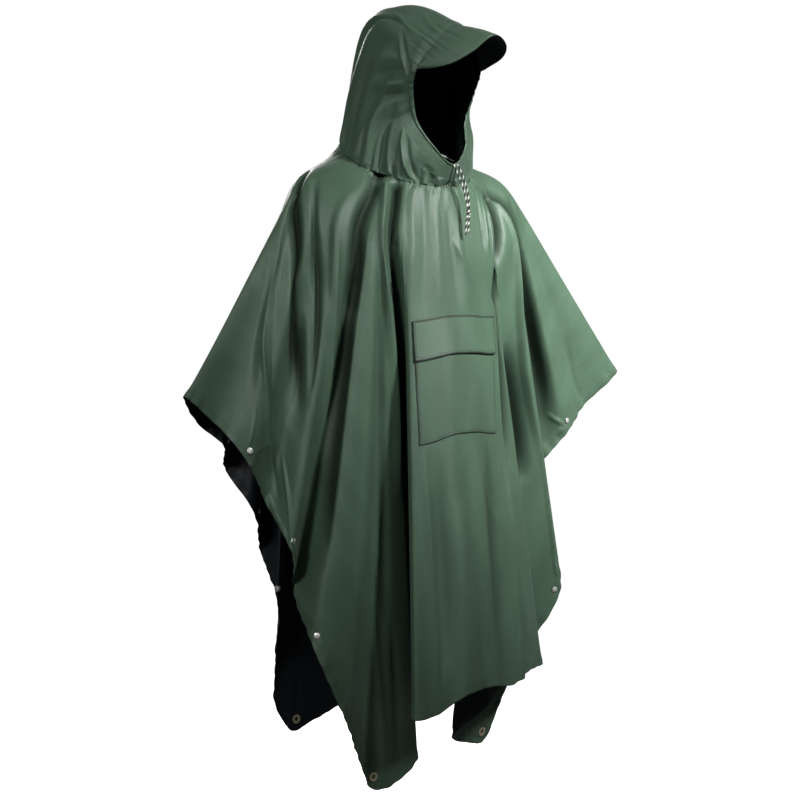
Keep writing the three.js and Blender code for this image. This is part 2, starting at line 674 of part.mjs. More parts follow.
// Every fold is a smooth bump across its angle; it is small at the seam, highest low in the hood,
// and fades at its reach
function hoodFoldHeight(angle, rise) {
  let height = 0;
  for (const fold of hoodFolds) {
    const away = abs(((angle - fold.angle + 540) % 360) - 180) / fold.halfWidth;
    const across = away < 1 ? (0.5 + 0.5 * cos(PI * away)) : 0;
    const onward = HOOD_FOLD_AT_SEAM + (1 - HOOD_FOLD_AT_SEAM) * (rise / fold.reach);
    const along = onward < 1 ? sin(PI * onward) : 0;
    height += fold.height * across * along;
  }
  return height;
}

const HOOD_ANGLE_STEP = 1;
const HOOD_RISE_STEP = 0.01;

function hoodFace(angle, rise) {
  const point = hoodPlain(angle, rise);
  const up = hoodPlain(angle, rise + HOOD_RISE_STEP).sub(hoodPlain(angle, rise - HOOD_RISE_STEP));
  const round = hoodPlain(angle + HOOD_ANGLE_STEP, rise).sub(hoodPlain(angle - HOOD_ANGLE_STEP, rise));
  const normal = round.cross(up).normalize();
  point.addScaledVector(normal, hoodFoldHeight(angle, rise));
  return { point, normal };
}

const HOOD_AROUND = 56;
const HOOD_UP = 9;

function buildHood() {
  const outer = [];
  const inner = [];
  for (let i = HOOD_UP; i >= 0; i -= 1) {
    const faces = [];
    for (let j = 0; j < HOOD_AROUND; j += 1) faces.push(hoodFace((360 * j) / HOOD_AROUND, i / HOOD_UP));
    outer.push(faces.map((face) => face.point));
    inner.push(faces.map((face) => face.point.clone().addScaledVector(face.normal, -CLOTH)));
  }
  addPiece('hood', wall(outer, inner, true), CLOTH_LOOK);
}

buildHood();

// The brim: a stiffened crescent from the top of the face opening to its free edge, arched upwards
const brimAt = loopCurve(namedRows(BRIM_COLUMNS, BRIM_EDGE), 'angle', ['x', 'y', 'z']);
const BRIM_FROM = 106;
const BRIM_ACROSS = 22;
const BRIM_OUT = 4;
const BRIM_START = 0.5;

function buildBrim() {
  const outer = [];
  const inner = [];
  for (let i = 0; i <= BRIM_OUT; i += 1) {
    const outerRow = [];
    const innerRow = [];
    for (let j = 0; j <= BRIM_ACROSS; j += 1) {
      const angle = BRIM_FROM + ((360 - 2 * BRIM_FROM) * j) / BRIM_ACROSS;
      const root = hoodFace(angle, 1).point;
      const tip = brimAt(angle);
      const out = new THREE.Vector3(tip.x, tip.y, tip.z).sub(root);
      const round = hoodPlain(angle + HOOD_ANGLE_STEP, 1).sub(hoodPlain(angle - HOOD_ANGLE_STEP, 1));
      const normal = round.cross(out).normalize();
      if (normal.z < 0) normal.negate();
      const reach = i / BRIM_OUT;
      const start = BRIM_START * (1 - reach);
      const point = root.clone().addScaledVector(out, reach)
        .addScaledVector(out.clone().normalize(), start)
        .addScaledVector(normal, BRIM_ARCH * hump(reach));
      outerRow.push(point);
      innerRow.push(point.clone().addScaledVector(normal, -BRIM_THICKNESS));
    }
    outer.push(outerRow.reverse());
    inner.push(innerRow.reverse());
  }
  addPiece('hood_brim', wall(outer, inner, false), CLOTH_LOOK);
}

buildBrim();

// The drawcord: two strands out of the channel's ends, a knot that joins them, and their two tails
function buildCord(name, route) {
  const path = new THREE.CatmullRomCurve3(route.points.map((point) => new THREE.Vector3(...point)));
  const section = new THREE.Shape();
  for (let side = 0; side < CORD_SIDES; side += 1) {
    const angle = (2 * PI * side) / CORD_SIDES;
    if (side === 0) section.moveTo(CORD_RADIUS, 0);
    else section.lineTo(CORD_RADIUS * cos(angle), CORD_RADIUS * sin(angle));
  }
  const tube = new THREE.ExtrudeGeometry(section, { steps: route.steps, extrudePath: path });
  addPiece(name, tube, CORD_LOOK);
}

for (const [name, route] of Object.entries(CORD_ROUTES)) buildCord(name, route);

const knot = new THREE.SphereGeometry(1, CORD_KNOT.sides, CORD_KNOT.rings);
knot.rotateX(PI / 2);
knot.scale(CORD_KNOT.halfWidth, CORD_KNOT.halfWidth, CORD_KNOT.halfHeight);
const knotMesh = addPiece('drawcord_knot', knot, CORD_LOOK);
knotMesh.position.set(CORD_KNOT.x, CORD_KNOT.y, CORD_KNOT.z);

export default poncho;
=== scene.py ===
# %% [markdown]
# # A hooded rain poncho of coated ripstop cloth
# This lesson builds a worn rain poncho: one long sheet of thin coated cloth with a gathered hood
# sewn into its middle. The sheet falls from the shoulders in deep folds. It is worked out from its
# cut, line by line, so that every line of cloth keeps the length that it was cut to.

# %% Load the frame
import math
import bpy
import numpy as np
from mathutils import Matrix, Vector


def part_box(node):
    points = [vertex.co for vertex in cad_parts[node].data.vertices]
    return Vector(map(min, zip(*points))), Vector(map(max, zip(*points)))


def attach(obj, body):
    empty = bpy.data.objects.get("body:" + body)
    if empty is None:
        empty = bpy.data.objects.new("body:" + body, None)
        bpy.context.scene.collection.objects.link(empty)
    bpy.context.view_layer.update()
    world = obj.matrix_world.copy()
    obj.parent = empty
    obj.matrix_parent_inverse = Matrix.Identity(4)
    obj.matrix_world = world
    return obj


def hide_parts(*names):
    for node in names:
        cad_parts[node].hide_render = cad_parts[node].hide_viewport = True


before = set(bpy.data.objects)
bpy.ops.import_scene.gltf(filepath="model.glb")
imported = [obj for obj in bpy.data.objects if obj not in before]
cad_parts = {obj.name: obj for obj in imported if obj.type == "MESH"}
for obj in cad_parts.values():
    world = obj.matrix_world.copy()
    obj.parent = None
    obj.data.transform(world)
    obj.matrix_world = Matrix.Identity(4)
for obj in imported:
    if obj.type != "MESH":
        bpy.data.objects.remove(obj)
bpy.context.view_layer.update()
MM = 0.001

# %% [markdown]
# ## The camera
# The photo looks at the wearer's right front from a little above. The camera stands four metres
# away with a long lens, so near and far folds keep nearly the same scale.

# %% The camera
CAMERA_AZIMUTH = -35.0
CAMERA_ELEVATION = 5.0
CAMERA_DISTANCE = 4.0
CAMERA_LENS = 93.6
CAMERA_SENSOR = 36.0
PHOTO_WIDTH = 800.0
CAMERA_TARGET = Vector((-0.008, 0.0055, -0.477))


def place_camera():
    """Puts the camera at target + distance x direction, where the direction is the azimuth and
    elevation turned into a unit vector, and turns it back to the target."""
    turn = math.radians(CAMERA_AZIMUTH)
    rise = math.radians(CAMERA_ELEVATION)
    direction = Vector((math.sin(turn) * math.cos(rise), -math.cos(turn) * math.cos(rise),
                        math.sin(rise)))
    data = bpy.data.cameras.new("camera")
    data.lens = CAMERA_LENS
    data.sensor_width = CAMERA_SENSOR
    data.clip_end = 100.0
    camera = bpy.data.objects.new("camera", data)
    bpy.context.scene.collection.objects.link(camera)
    camera.location = CAMERA_TARGET + direction * CAMERA_DISTANCE
    camera.rotation_euler = (-direction).to_track_quat("-Z", "Y").to_euler()
    bpy.context.scene.camera = camera
    return camera


camera = place_camera()
print("Camera at", tuple(round(value, 3) for value in camera.location))

# %% [markdown]
# ## The cut and the fall of the sheet
# All sizes are in millimetres until a mesh is made. The sheet is a rectangle with a neck hole.
# Each row of the table is one line of cloth from the shoulder to the edge: its angle at the edge
# and at the shoulder on the flat sheet, the place in plan of its lower end, and the length taken
# up by small creases.

# %% The sizes
HALF_WIDTH = 728.0
FRONT_LENGTH = 1072.0
BACK_LENGTH = 1098.0
CORNER_RADIUS = 26.0
FOLD_LINE_BEHIND_NECK = (BACK_LENGTH - FRONT_LENGTH) / 2
NECK_RADIUS = 125.0
SHOULDER_RADIUS = 250.0
YOKE = SHOULDER_RADIUS - NECK_RADIUS
BEND = 55.0
NECK_HALF_WIDTH, NECK_HALF_DEPTH, NECK_MIDDLE_Z, NECK_FRONT_DROP = 120.0, 133.0, -21.0, 50.0
SHOULDER_HALF_WIDTH, SHOULDER_HALF_DEPTH = 240.0, 160.0

# name, edge angle, shoulder angle, x, y, taken up
FALL = [
    ("front middle", 0, 0, 0, -232, 12),
    ("panel crest right", -2.4, -6, -45, -252, 8),
    ("panel dip right", -4.6, -13, -88, -238, -18),
    ("panel edge right", -7.8, -23, -146, -238, -20),
    ("pleat right, turning in", -10, -25.5, -122, -196, 0),
    ("pleat right, deep", -18, -28.5, 82, -122, 0),
    ("pleat right, coming back", -20.5, -30, 66, -88, 0),
    ("flank turned under right", -24.6, -31.3, -66, -78, 0),
    ("flank tuck right", -28.6, -32.7, -42, -100, -16),
    ("flank crest right", -31.4, -34.2, -108, -118, -14),
    ("front corner right", -34.2, -35.8, -162, -118, 15),
    ("flank right", -39.5, -39, -245, -166, 0),
    ("front snap 3 right", -46.6, -43, -313, -154, 0),
    ("front hollow 3 right", -52, -47, -292, -60, 0),
    ("front snap 2 right", -57.8, -57, -334, -122, -10),
    ("front hollow 2 right", -65.5, -66, -352, -60, 0),
    ("front snap 1 right", -73.2, -74, -408, -98, 0),
    ("front hollow 1 right", -81, -82, -446, -62, 14),
    ("arm right", -90, -90, -512, -52, 12),
    ("behind arm right", -98, -98, -440, 26, 0),
    ("back snap 1 right", -106.3, -106, -392, 18, 0),
    ("back hollow 1 right", -114, -113, -356, 74, 0),
    ("back snap 2 right", -121.4, -120, -318, 40, -10),
    ("back hollow 2 right", -129, -127, -254, 116, -10),
    ("back snap 3 right", -135.3, -134, -250, 64, 0),
    ("back flank right", -141, -140, -224, 116, 0),
    ("back flank low right", -144, -143, -216, 130, 0),
    ("back corner right", -146.5, -146, -176, 130, 15),
    ("back turn right", -152, -151, -48, 146, -10),
    ("back valley right", -159, -158, 60, 160, 0),
    ("back crest right", -167, -168, -84, 240, 0),
    ("back second crest right", -172, -172.5, -42, 296, 0),
    ("back dip right", -177.5, -178, 0, 222, 0),
    ("back middle", 177.3, 177.5, 34, 298, 0),
    ("back dip left", 172.5, 173, 66, 236, 0),
    ("back crest left", 168, 169, 120, 292, 0),
    ("back valley left", 161, 161, 150, 180, 0),
    ("back turn left", 153.5, 153, 262, 262, 0),
    ("back corner left", 146.5, 146, 222, 140, 15),
    ("back snap 3 left", 137, 138, 318, 150, 0),
    ("back hollow 2 left", 130, 131, 262, 72, 0),
    ("back snap 2 left", 122, 124, 345, 118, 0),
    ("back hollow 1 left", 114, 115, 340, 48, 0),
    ("back snap 1 left", 106.3, 107, 420, 92, 0),
    ("behind arm left", 98, 98, 452, 54, 0),
    ("arm left", 90, 90, 528, -8, 0),
    ("front hollow 1 left", 81.5, 82, 448, 2, 0),
    ("front snap 1 left", 73.2, 74, 388, -22, 18),
    ("front hollow 2 left", 64, 65, 318, 12, 0),
    ("front snap 2 left", 56, 56, 296, -24, 0),
    ("ridge left", 47.5, 44, 340, -62, 0),
    ("flank left", 40.5, 38, 262, -22, 0),
    ("front corner left", 34.2, 34.6, 200, 10, 15),
    ("flank tuck left", 29.4, 32.5, 96, -26, 0),
    ("pleat left, going in", 25, 31, 142, -70, 20),
    ("pleat left, turning", 20.5, 27.5, 230, -60, 50),
    ("panel turn left", 17, 23.5, 270, -84, 25),
    ("panel wrap left", 11.5, 19, 196, -142, 20),
    ("panel dip left", 7, 13, 128, -176, 0),
    ("panel crest left", 3, 6, 56, -218, 12),
]
print("Lines of cloth in the table:", len(FALL))

# %% [markdown]
# ## A smooth curve through a closed table
# Between two neighbours in a table runs a cubic. Its slope at each row is the weighted mean of the
# slopes on both sides, so the curve neither kinks nor swings wide.


# %% Smooth closed curves
def loop_curve(angles, values, at):
    """Cubic Hermite curve through values given at angles (degrees, closed round), read at the
    angles at. Slope at a row = (slope before x span after + slope after x span before) / both."""
    angles = np.mod(np.asarray(angles, float), 360.0)
    order = np.argsort(angles)
    angles, values = angles[order], np.asarray(values, float)[order]
    knots = np.concatenate([angles[-2:] - 360.0, angles, angles[:2] + 360.0])
    values = np.concatenate([values[-2:], values, values[:2]])
    spans = np.diff(knots)[:, None]
    slopes = np.diff(values, axis=0) / spans
    slope = (slopes[:-1] * spans[1:] + slopes[1:] * spans[:-1]) / (spans[:-1] + spans[1:])
    slope = np.concatenate([slope[:1], slope, slope[-1:]])
    at = np.mod(at, 360.0)
    k = np.clip(np.searchsorted(knots, at, side="right") - 1, 1, len(knots) - 3)
    span = (knots[k + 1] - knots[k])[..., None]
    x = (at - knots[k])[..., None] / span
    return ((2 * x**3 - 3 * x**2 + 1) * values[k] + (x**3 - 2 * x**2 + x) * span * slope[k]
            + (3 * x**2 - 2 * x**3) * values[k + 1] + (x**3 - x**2) * span * slope[k + 1])


# %% [markdown]
# ## One line of cloth
# In plan a line leaves the neck seam with one lean, turns smoothly where it rounds the shoulder,
# and runs on with another lean. Its height falls by the length of cloth that the plan leaves over.


# %% The lines of cloth
def edge_radius(degrees):
    """Distance from the middle of the neck hole to the cut edge of the flat sheet: the nearer of
    the side and the end, and the round corner where it is nearer still."""
    across = np.abs(np.sin(np.radians(degrees)))
    along = np.abs(np.cos(np.radians(degrees)))
    length = np.where(np.cos(np.radians(degrees)) > 0, FRONT_LENGTH, BACK_LENGTH)
    straight = np.minimum(HALF_WIDTH / np.maximum(across, 1e-6), length / np.maximum(along, 1e-6))
    centre_x = HALF_WIDTH - CORNER_RADIUS
    centre_y = length - CORNER_RADIUS
    abreast = centre_x * across + centre_y * along
    round_part = abreast + np.sqrt(np.maximum(
        0.0, abreast**2 - centre_x**2 - centre_y**2 + CORNER_RADIUS**2))
    in_corner = (straight * across > centre_x) & (straight * along > centre_y)
    return np.where(in_corner, round_part, straight)


def flat_point(degrees, radius):
    """(radius sin angle, -radius cos angle): a point of the flat sheet."""
    return np.stack([radius * np.sin(np.radians(degrees)), -radius * np.cos(np.radians(degrees))],
                    -1)


def neck_point(degrees):
    """A point of the neck seam: an ellipse that is lower in front by its cosine."""
    angle = np.radians(degrees)
    return np.stack([NECK_HALF_WIDTH * np.sin(angle), -NECK_HALF_DEPTH * np.cos(angle),
                     NECK_MIDDLE_Z - NECK_FRONT_DROP * np.cos(angle)], -1)


def shoulder_plan(degrees):
    """A point in plan of the ellipse where the cloth rounds the shoulders."""
    angle = np.radians(degrees)
    return np.stack([SHOULDER_HALF_WIDTH * np.sin(angle), -SHOULDER_HALF_DEPTH * np.cos(angle)], -1)


fall_edge = np.array([row[1] for row in FALL], float)
fall_shoulder = np.array([row[2] for row in FALL], float)
fall_plan = np.array([[row[3], row[4]] for row in FALL], float)
fall_taken = np.array([row[5] for row in FALL], float)
fall_length = np.linalg.norm(flat_point(fall_edge, edge_radius(fall_edge))
                             - flat_point(fall_shoulder, SHOULDER_RADIUS), axis=-1)
fall_values = np.column_stack([
    (fall_plan - shoulder_plan(fall_shoulder)) / fall_length[:, None],
    fall_shoulder - fall_edge,
    fall_taken / fall_length,
])


def line_of_cloth(edge_angle):
    """The parts of the line of cloth that ends at an edge angle: its leans, its place on the neck
    seam, its flat start and end, and its whole length from the seam."""
    fall = loop_curve(fall_edge, fall_values, edge_angle)
    shoulder_angle = edge_angle + fall[..., 2]
    neck = neck_point(shoulder_angle)
    start = flat_point(shoulder_angle, SHOULDER_RADIUS)
    end = flat_point(edge_angle, edge_radius(edge_angle))
    return {
        "lean": fall[..., :2], "shrink": fall[..., 3], "shoulder_angle": shoulder_angle,
        "neck": neck, "first": (shoulder_plan(shoulder_angle) - neck[..., :2]) / YOKE,
        "start": start, "end": end, "length": YOKE + np.linalg.norm(end - start, axis=-1),
    }


def point_on_line(line, distance):
    """The place on a line at a distance from the seam. Plan = neck + first lean x distance + the
    change of lean x a smooth ramp; height falls by the square root of 1 - lean x lean per step."""
    bend_start, bend_end = YOKE - BEND, YOKE + BEND
    turned = np.clip((distance - bend_start) / (2 * BEND), 0.0, 1.0)
    ramp = np.where(distance > bend_end, distance - YOKE, 2 * BEND * (turned**3 - turned**4 / 2))
    change = line["lean"] - line["first"]
    plan = line["neck"][..., :2] + line["first"] * distance[..., None] + change * ramp[..., None]
    drop = np.minimum(distance, bend_start) * np.sqrt(1 - np.sum(line["first"]**2, -1))
    steps = 8
    for step in range(steps):
        part = (step + 0.5) / steps * turned
        lean = line["first"] + change * (part * part * (3 - 2 * part))[..., None]
        drop = drop + turned * 2 * BEND / steps * np.sqrt(1 - np.sum(lean**2, -1))
    steep = np.sqrt(1 - np.sum(line["lean"]**2, -1)) * (1 - line["shrink"])
    drop = drop + np.maximum(distance - bend_end, 0.0) * steep
    return np.concatenate([plan, (line["neck"][..., 2] - drop)[..., None]], -1)


def flat_place(line, distance):
    """Where a point of a line lies on the flat sheet: out along the shoulder angle as far as the
    shoulder, then straight on to the edge."""
    near = flat_point(line["shoulder_angle"], NECK_RADIUS + distance)
    onward = (distance - YOKE) / (line["length"] - YOKE)
    far = line["start"] + (line["end"] - line["start"]) * onward[..., None]
    return np.where((distance < YOKE)[..., None], near, far)


print("Shortest and longest line:", line_of_cloth(np.arange(0.0, 360.0))["length"].min().round(),
      line_of_cloth(np.arange(0.0, 360.0))["length"].max().round())

# %% [markdown]
# ## Creases
# Thin coated cloth keeps long soft creases. Each row is one crease on the flat sheet: where it
# starts and ends, how far its middle bows to one side, its half width at both ends, its height
# (minus for a trough), how sharp its top is, and how much of the height is left at each end.

# %% The creases set on the flat cut
# x start, y start, x end, y end, bow, half width start, end, height, sharpness, left at start,
# left at end (mm and shares)
FLAT_CREASES = np.array([
    # beside the panel and down the wearer's right side
    [-95, -107, -300, -668, -4, 8, 13, -20, 0.2, 1.0, 0.4],
    # over the wearer's right arm
    [-330, 40, -700, 20, -10, 10, 22, -5, 0.1, 0.3, 0.5],
    # at the snaps of the right edge
    [-634, -312, -722, -440, -4, 4, 5, 4, 0.6, 0.1, 0.5],
    [-712, -330, -724, -420, 2, 3, 4, 3, 0.8, 0.1, 0.5],
    [-700, -462, -718, -525, 2, 3, 4, 4, 0.6, 0.6, 0.1],
    [-722, -585, -700, -655, 3, 6, 8, 5, 0.3, 0.1, 0.1],
    [-706, -200, -640, -170, 3, 4, 5, 3, 0.6, 0.5, 0.1],
    [-706, -220, -650, -262, -3, 3, 5, 3, 0.6, 0.5, 0.1],
    # the front right corner
    [-640, -1066, -706, -1050, 3, 3, 3, 2.5, 0.6, 0.3, 0.6],
    # the front panel, from the neck gathers to the hem
    [-68, -618, -60, -1000, 0, 9, 13, -6, 0.1, 0.2, 0.2],
    [-20, -700, -16, -1064, 4, 20, 26, 8, 0.05, 0.1, 0.5],
    [66, -590, 86, -1030, -4, 20, 26, -10, 0.1, 0.1, 0.4],
    [-26, -1050, 30, -1064, -6, 5, 5, 4, 0.4, 0.2, 0.2],
    [-52, -1058, -10, -1050, -5, 4, 4, 3, 0.4, 0.2, 0.2],
    [60, -640, 120, -780, 12, 5, 8, 3, 0.4, 0.2, 0.1],
    # down the wearer's left side
    [134, -116, 128, -320, -10, 12, 18, -22, 0.2, 1.0, 1.0],
    [128, -300, 160, -640, -4, 12, 18, -18, 0.1, 0.8, 0.2],
    [280, -360, 500, -560, 0, 22, 26, -22, 0.1, 0.1, 0.1],
    [240, -84, 690, -262, 0, 18, 30, -22, 0.1, 0.4, 0.3],
    [165, -98, 640, -262, 3, 18, 34, -24, 0.1, 0.6, 0.1],
    [620, -420, 704, -446, 4, 4, 5, 3, 0.5, 0.1, 0.6],
    [690, -1000, 650, -1060, 0, 4, 4, 4, 0.6, 0.2, 0.2],
    [420, -820, 600, -1060, 8, 10, 16, -5, 0.1, 0.1, 0.6],
    # down the back, with the side that the photo does not show
    [-60, 150, -90, 1070, 10, 9, 16, 6, 0.2, 0.6, 0.7],
    [-20, 140, 10, 1080, -8, 8, 15, -6, 0.1, 0.5, 0.5],
    [50, 160, 60, 860, 10, 7, 12, 5, 0.35, 0.6, 0.2],
    [105, 150, 190, 1050, -14, 9, 18, -6, 0.1, 0.5, 0.5],
    [150, 230, 240, 800, 12, 6, 10, 5, 0.4, 0.1, 0.2],
    [-120, 160, -220, 1030, 12, 9, 16, 6, 0.2, 0.5, 0.5],
    [-170, 240, -320, 900, -16, 11, 18, -7, 0.1, 0.3, 0.3],
    [-230, 150, -470, 760, 10, 9, 14, 6, 0.2, 0.3, 0.2],
    [-290, 110, -600, 580, -14, 9, 16, -6, 0.2, 0.4, 0.3],
    [-360, 80, -690, 380, 14, 7, 12, 5, 0.5, 0.1, 0.3],
    [230, 190, 400, 990, -10, 9, 16, 6, 0.2, 0.3, 0.4],
    [280, 120, 560, 700, 14, 9, 16, -7, 0.1, 0.4, 0.2],
    [340, 80, 650, 460, -12, 7, 12, 6, 0.3, 0.2, 0.2],
    [400, 50, 700, 330, 10, 6, 10, -5, 0.4, 0.1, 0.4],
    [-640, 420, -708, 470, 3, 4, 5, 4, 0.6, 0.1, 0.6],
    [-690, 520, -712, 482, -2, 3, 4, 3, 0.6, 0.1, 0.6],
    [640, 430, 706, 470, -4, 4, 5, 4, 0.6, 0.1, 0.6],
    [-650, 990, -706, 1076, 4, 4, 5, 3, 0.5, 0.2, 0.5],
    [-560, 1084, -640, 1050, 5, 4, 5, 3, 0.5, 0.4, 0.2],
    [640, 1000, 700, 1076, -4, 4, 5, 3, 0.5, 0.2, 0.5],
    [-300, 1090, -250, 1050, 4, 5, 6, 3, 0.4, 0.6, 0.2],
    [330, 1090, 280, 1040, -4, 5, 6, 3, 0.4, 0.6, 0.2],
], float)


def crease_height(table, flat):
    """Sum over the rows of height x a bump across x a fade along. The bump is a bell curve for a
    soft crease and a tent for a sharp one. The crease's line is bowed by 4 t (1 - t), and the fade
    rises from the height left at one end and falls to that left at the other."""
    total = np.zeros(flat.shape[:-1])
    for x0, y0, x1, y1, bow, wide, wide_end, height, sharp, left, left_end in table:
        along = np.array([x1 - x0, y1 - y0])
        reach = np.linalg.norm(along)
        along = along / reach
        away = flat - np.array([x0, y0])
        t = np.clip((away @ along) / reach, 0.0, 1.0)
        half_width = wide + (wide_end - wide) * t
        aside = away[..., 0] * along[1] - away[..., 1] * along[0]
        across = (aside - bow * 4 * t * (1 - t)) / half_width
        beyond = (away @ along - t * reach) / half_width
        bump = np.exp(-across**2) * (1 - sharp) + np.maximum(0.0, 1 - np.abs(across) * 0.75) * sharp
        rising, falling = np.clip(t / 0.35, 0, 1), np.clip((1 - t) / 0.35, 0, 1)
        fade = ((left + (1 - left) * np.sin(np.pi / 2 * rising))
                * (left_end + (1 - left_end) * np.sin(np.pi / 2 * falling)))
        total = total + height * bump * fade * np.exp(-beyond**2)
    return total


def gather_height(shoulder_angle, distance):
    """Puckers of the gathered neck seam: uneven waves round the neck that fade down the yoke,
    and the small dip where the cloth is sewn in."""
    angle = np.radians(shoulder_angle)
    wave = (np.sin(34 * angle + 1.7 * np.sin(3 * angle)) + 0.6 * np.sin(53 * angle + 2.2)
            + 0.5 * np.sin(21 * angle + 0.8))
    fade = (distance / 7.0) * np.exp(1 - distance / 7.0)
    knots = np.sin(88 * angle + 2.0 * np.sin(7 * angle)) + 0.7 * np.sin(131 * angle + 1.0)
    return 0.8 * wave * fade + (0.8 * knots - 0.3) * np.exp(-(distance / 7.0)**2)


print("Creases set on the cut:", len(FLAT_CREASES))

# %% [markdown]
# ## The body sheet as a grid
# Columns are spread evenly along the hem and rows run from the neck seam to the edge. Every point
# is moved out along the surface by the creases, the gathers and the hem.


# %% The sheet's surface
SHEET_AROUND = 1520
YOKE_STEPS = 34
SKIRT_STEPS = 84
HEM_WIDTH = 16.0
HEM_RISE = 0.7
MISS_COST = 1.0e5


def hem_angles(count):
    """Edge angles that share the length of the cut edge evenly."""
    fine = np.linspace(0.0, 360.0, 7201)
    edge = flat_point(fine, edge_radius(fine))
    length = np.concatenate([[0.0], np.cumsum(np.linalg.norm(np.diff(edge, axis=0), axis=-1))])
    return np.interp(np.arange(count) / count * length[-1], length, fine)


def row_distances(length):
    """Distances of the rows: even steps over the shoulder, then even parts of what is left."""
    yoke = np.linspace(0.0, 1.0, YOKE_STEPS, endpoint=False)[:, None] * (YOKE + BEND)
    skirt = (YOKE + BEND) + (length - YOKE - BEND) * np.linspace(0.0, 1.0, SKIRT_STEPS + 1)[:, None]
    return np.concatenate([np.broadcast_to(yoke, (YOKE_STEPS, len(length))), skirt])


def normals_round(points):
    """Unit normals of a grid closed round: the down difference crossed with the round one."""
    down = np.gradient(points, axis=0)
    around = np.roll(points, -1, axis=1) - np.roll(points, 1, axis=1)
    normal = np.cross(down, around)
    return normal / np.maximum(np.linalg.norm(normal, axis=-1, keepdims=True), 1e-9)


def edge_gap(flat):
    """Distance on the flat sheet to the nearest cut edge."""
    side = HALF_WIDTH - np.abs(flat[..., 0])
    end = np.where(flat[..., 1] > 0, BACK_LENGTH, FRONT_LENGTH) - np.abs(flat[..., 1])
    return np.minimum(side, end)


def hem_height(flat):
    """The folded hem: a low step along the cut edge, with uneven puckers that the stitching
    draws in. Height = step + pucker waves x a fade from the edge."""
    gap = edge_gap(flat)
    step = HEM_RISE / (1 + np.exp((gap - HEM_WIDTH) / 1.2))
    run = np.where(HALF_WIDTH - np.abs(flat[..., 0]) < np.abs(gap) + 1e-6, flat[..., 1],
                   flat[..., 0])
    wave = (np.sin(run / 5.2 + 1.9 * np.sin(run / 47.0)) + 0.7 * np.sin(run / 9.1 + 1.0)
            + 0.8 * np.sin(run / 23.0 + 2.0))
    return step + 0.9 * wave * np.exp(-(gap / 26.0)**2)


def sheet_height(flat, shoulder_angle, distance):
    """All that moves the cloth out from its plain fall."""
    return (crease_height(sheet_creases, flat) + gather_height(shoulder_angle, distance)
            + hem_height(flat))


sheet_angles = hem_angles(SHEET_AROUND)
sheet_line = line_of_cloth(sheet_angles)
sheet_rows = row_distances(sheet_line["length"])
sheet_line = {key: np.broadcast_to(value, sheet_rows.shape + value.shape[1:])
              for key, value in sheet_line.items()}
sheet_flat = flat_place(sheet_line, sheet_rows)
sheet_plain = point_on_line(sheet_line, sheet_rows)
print("Plain sheet grid:", sheet_plain.shape)
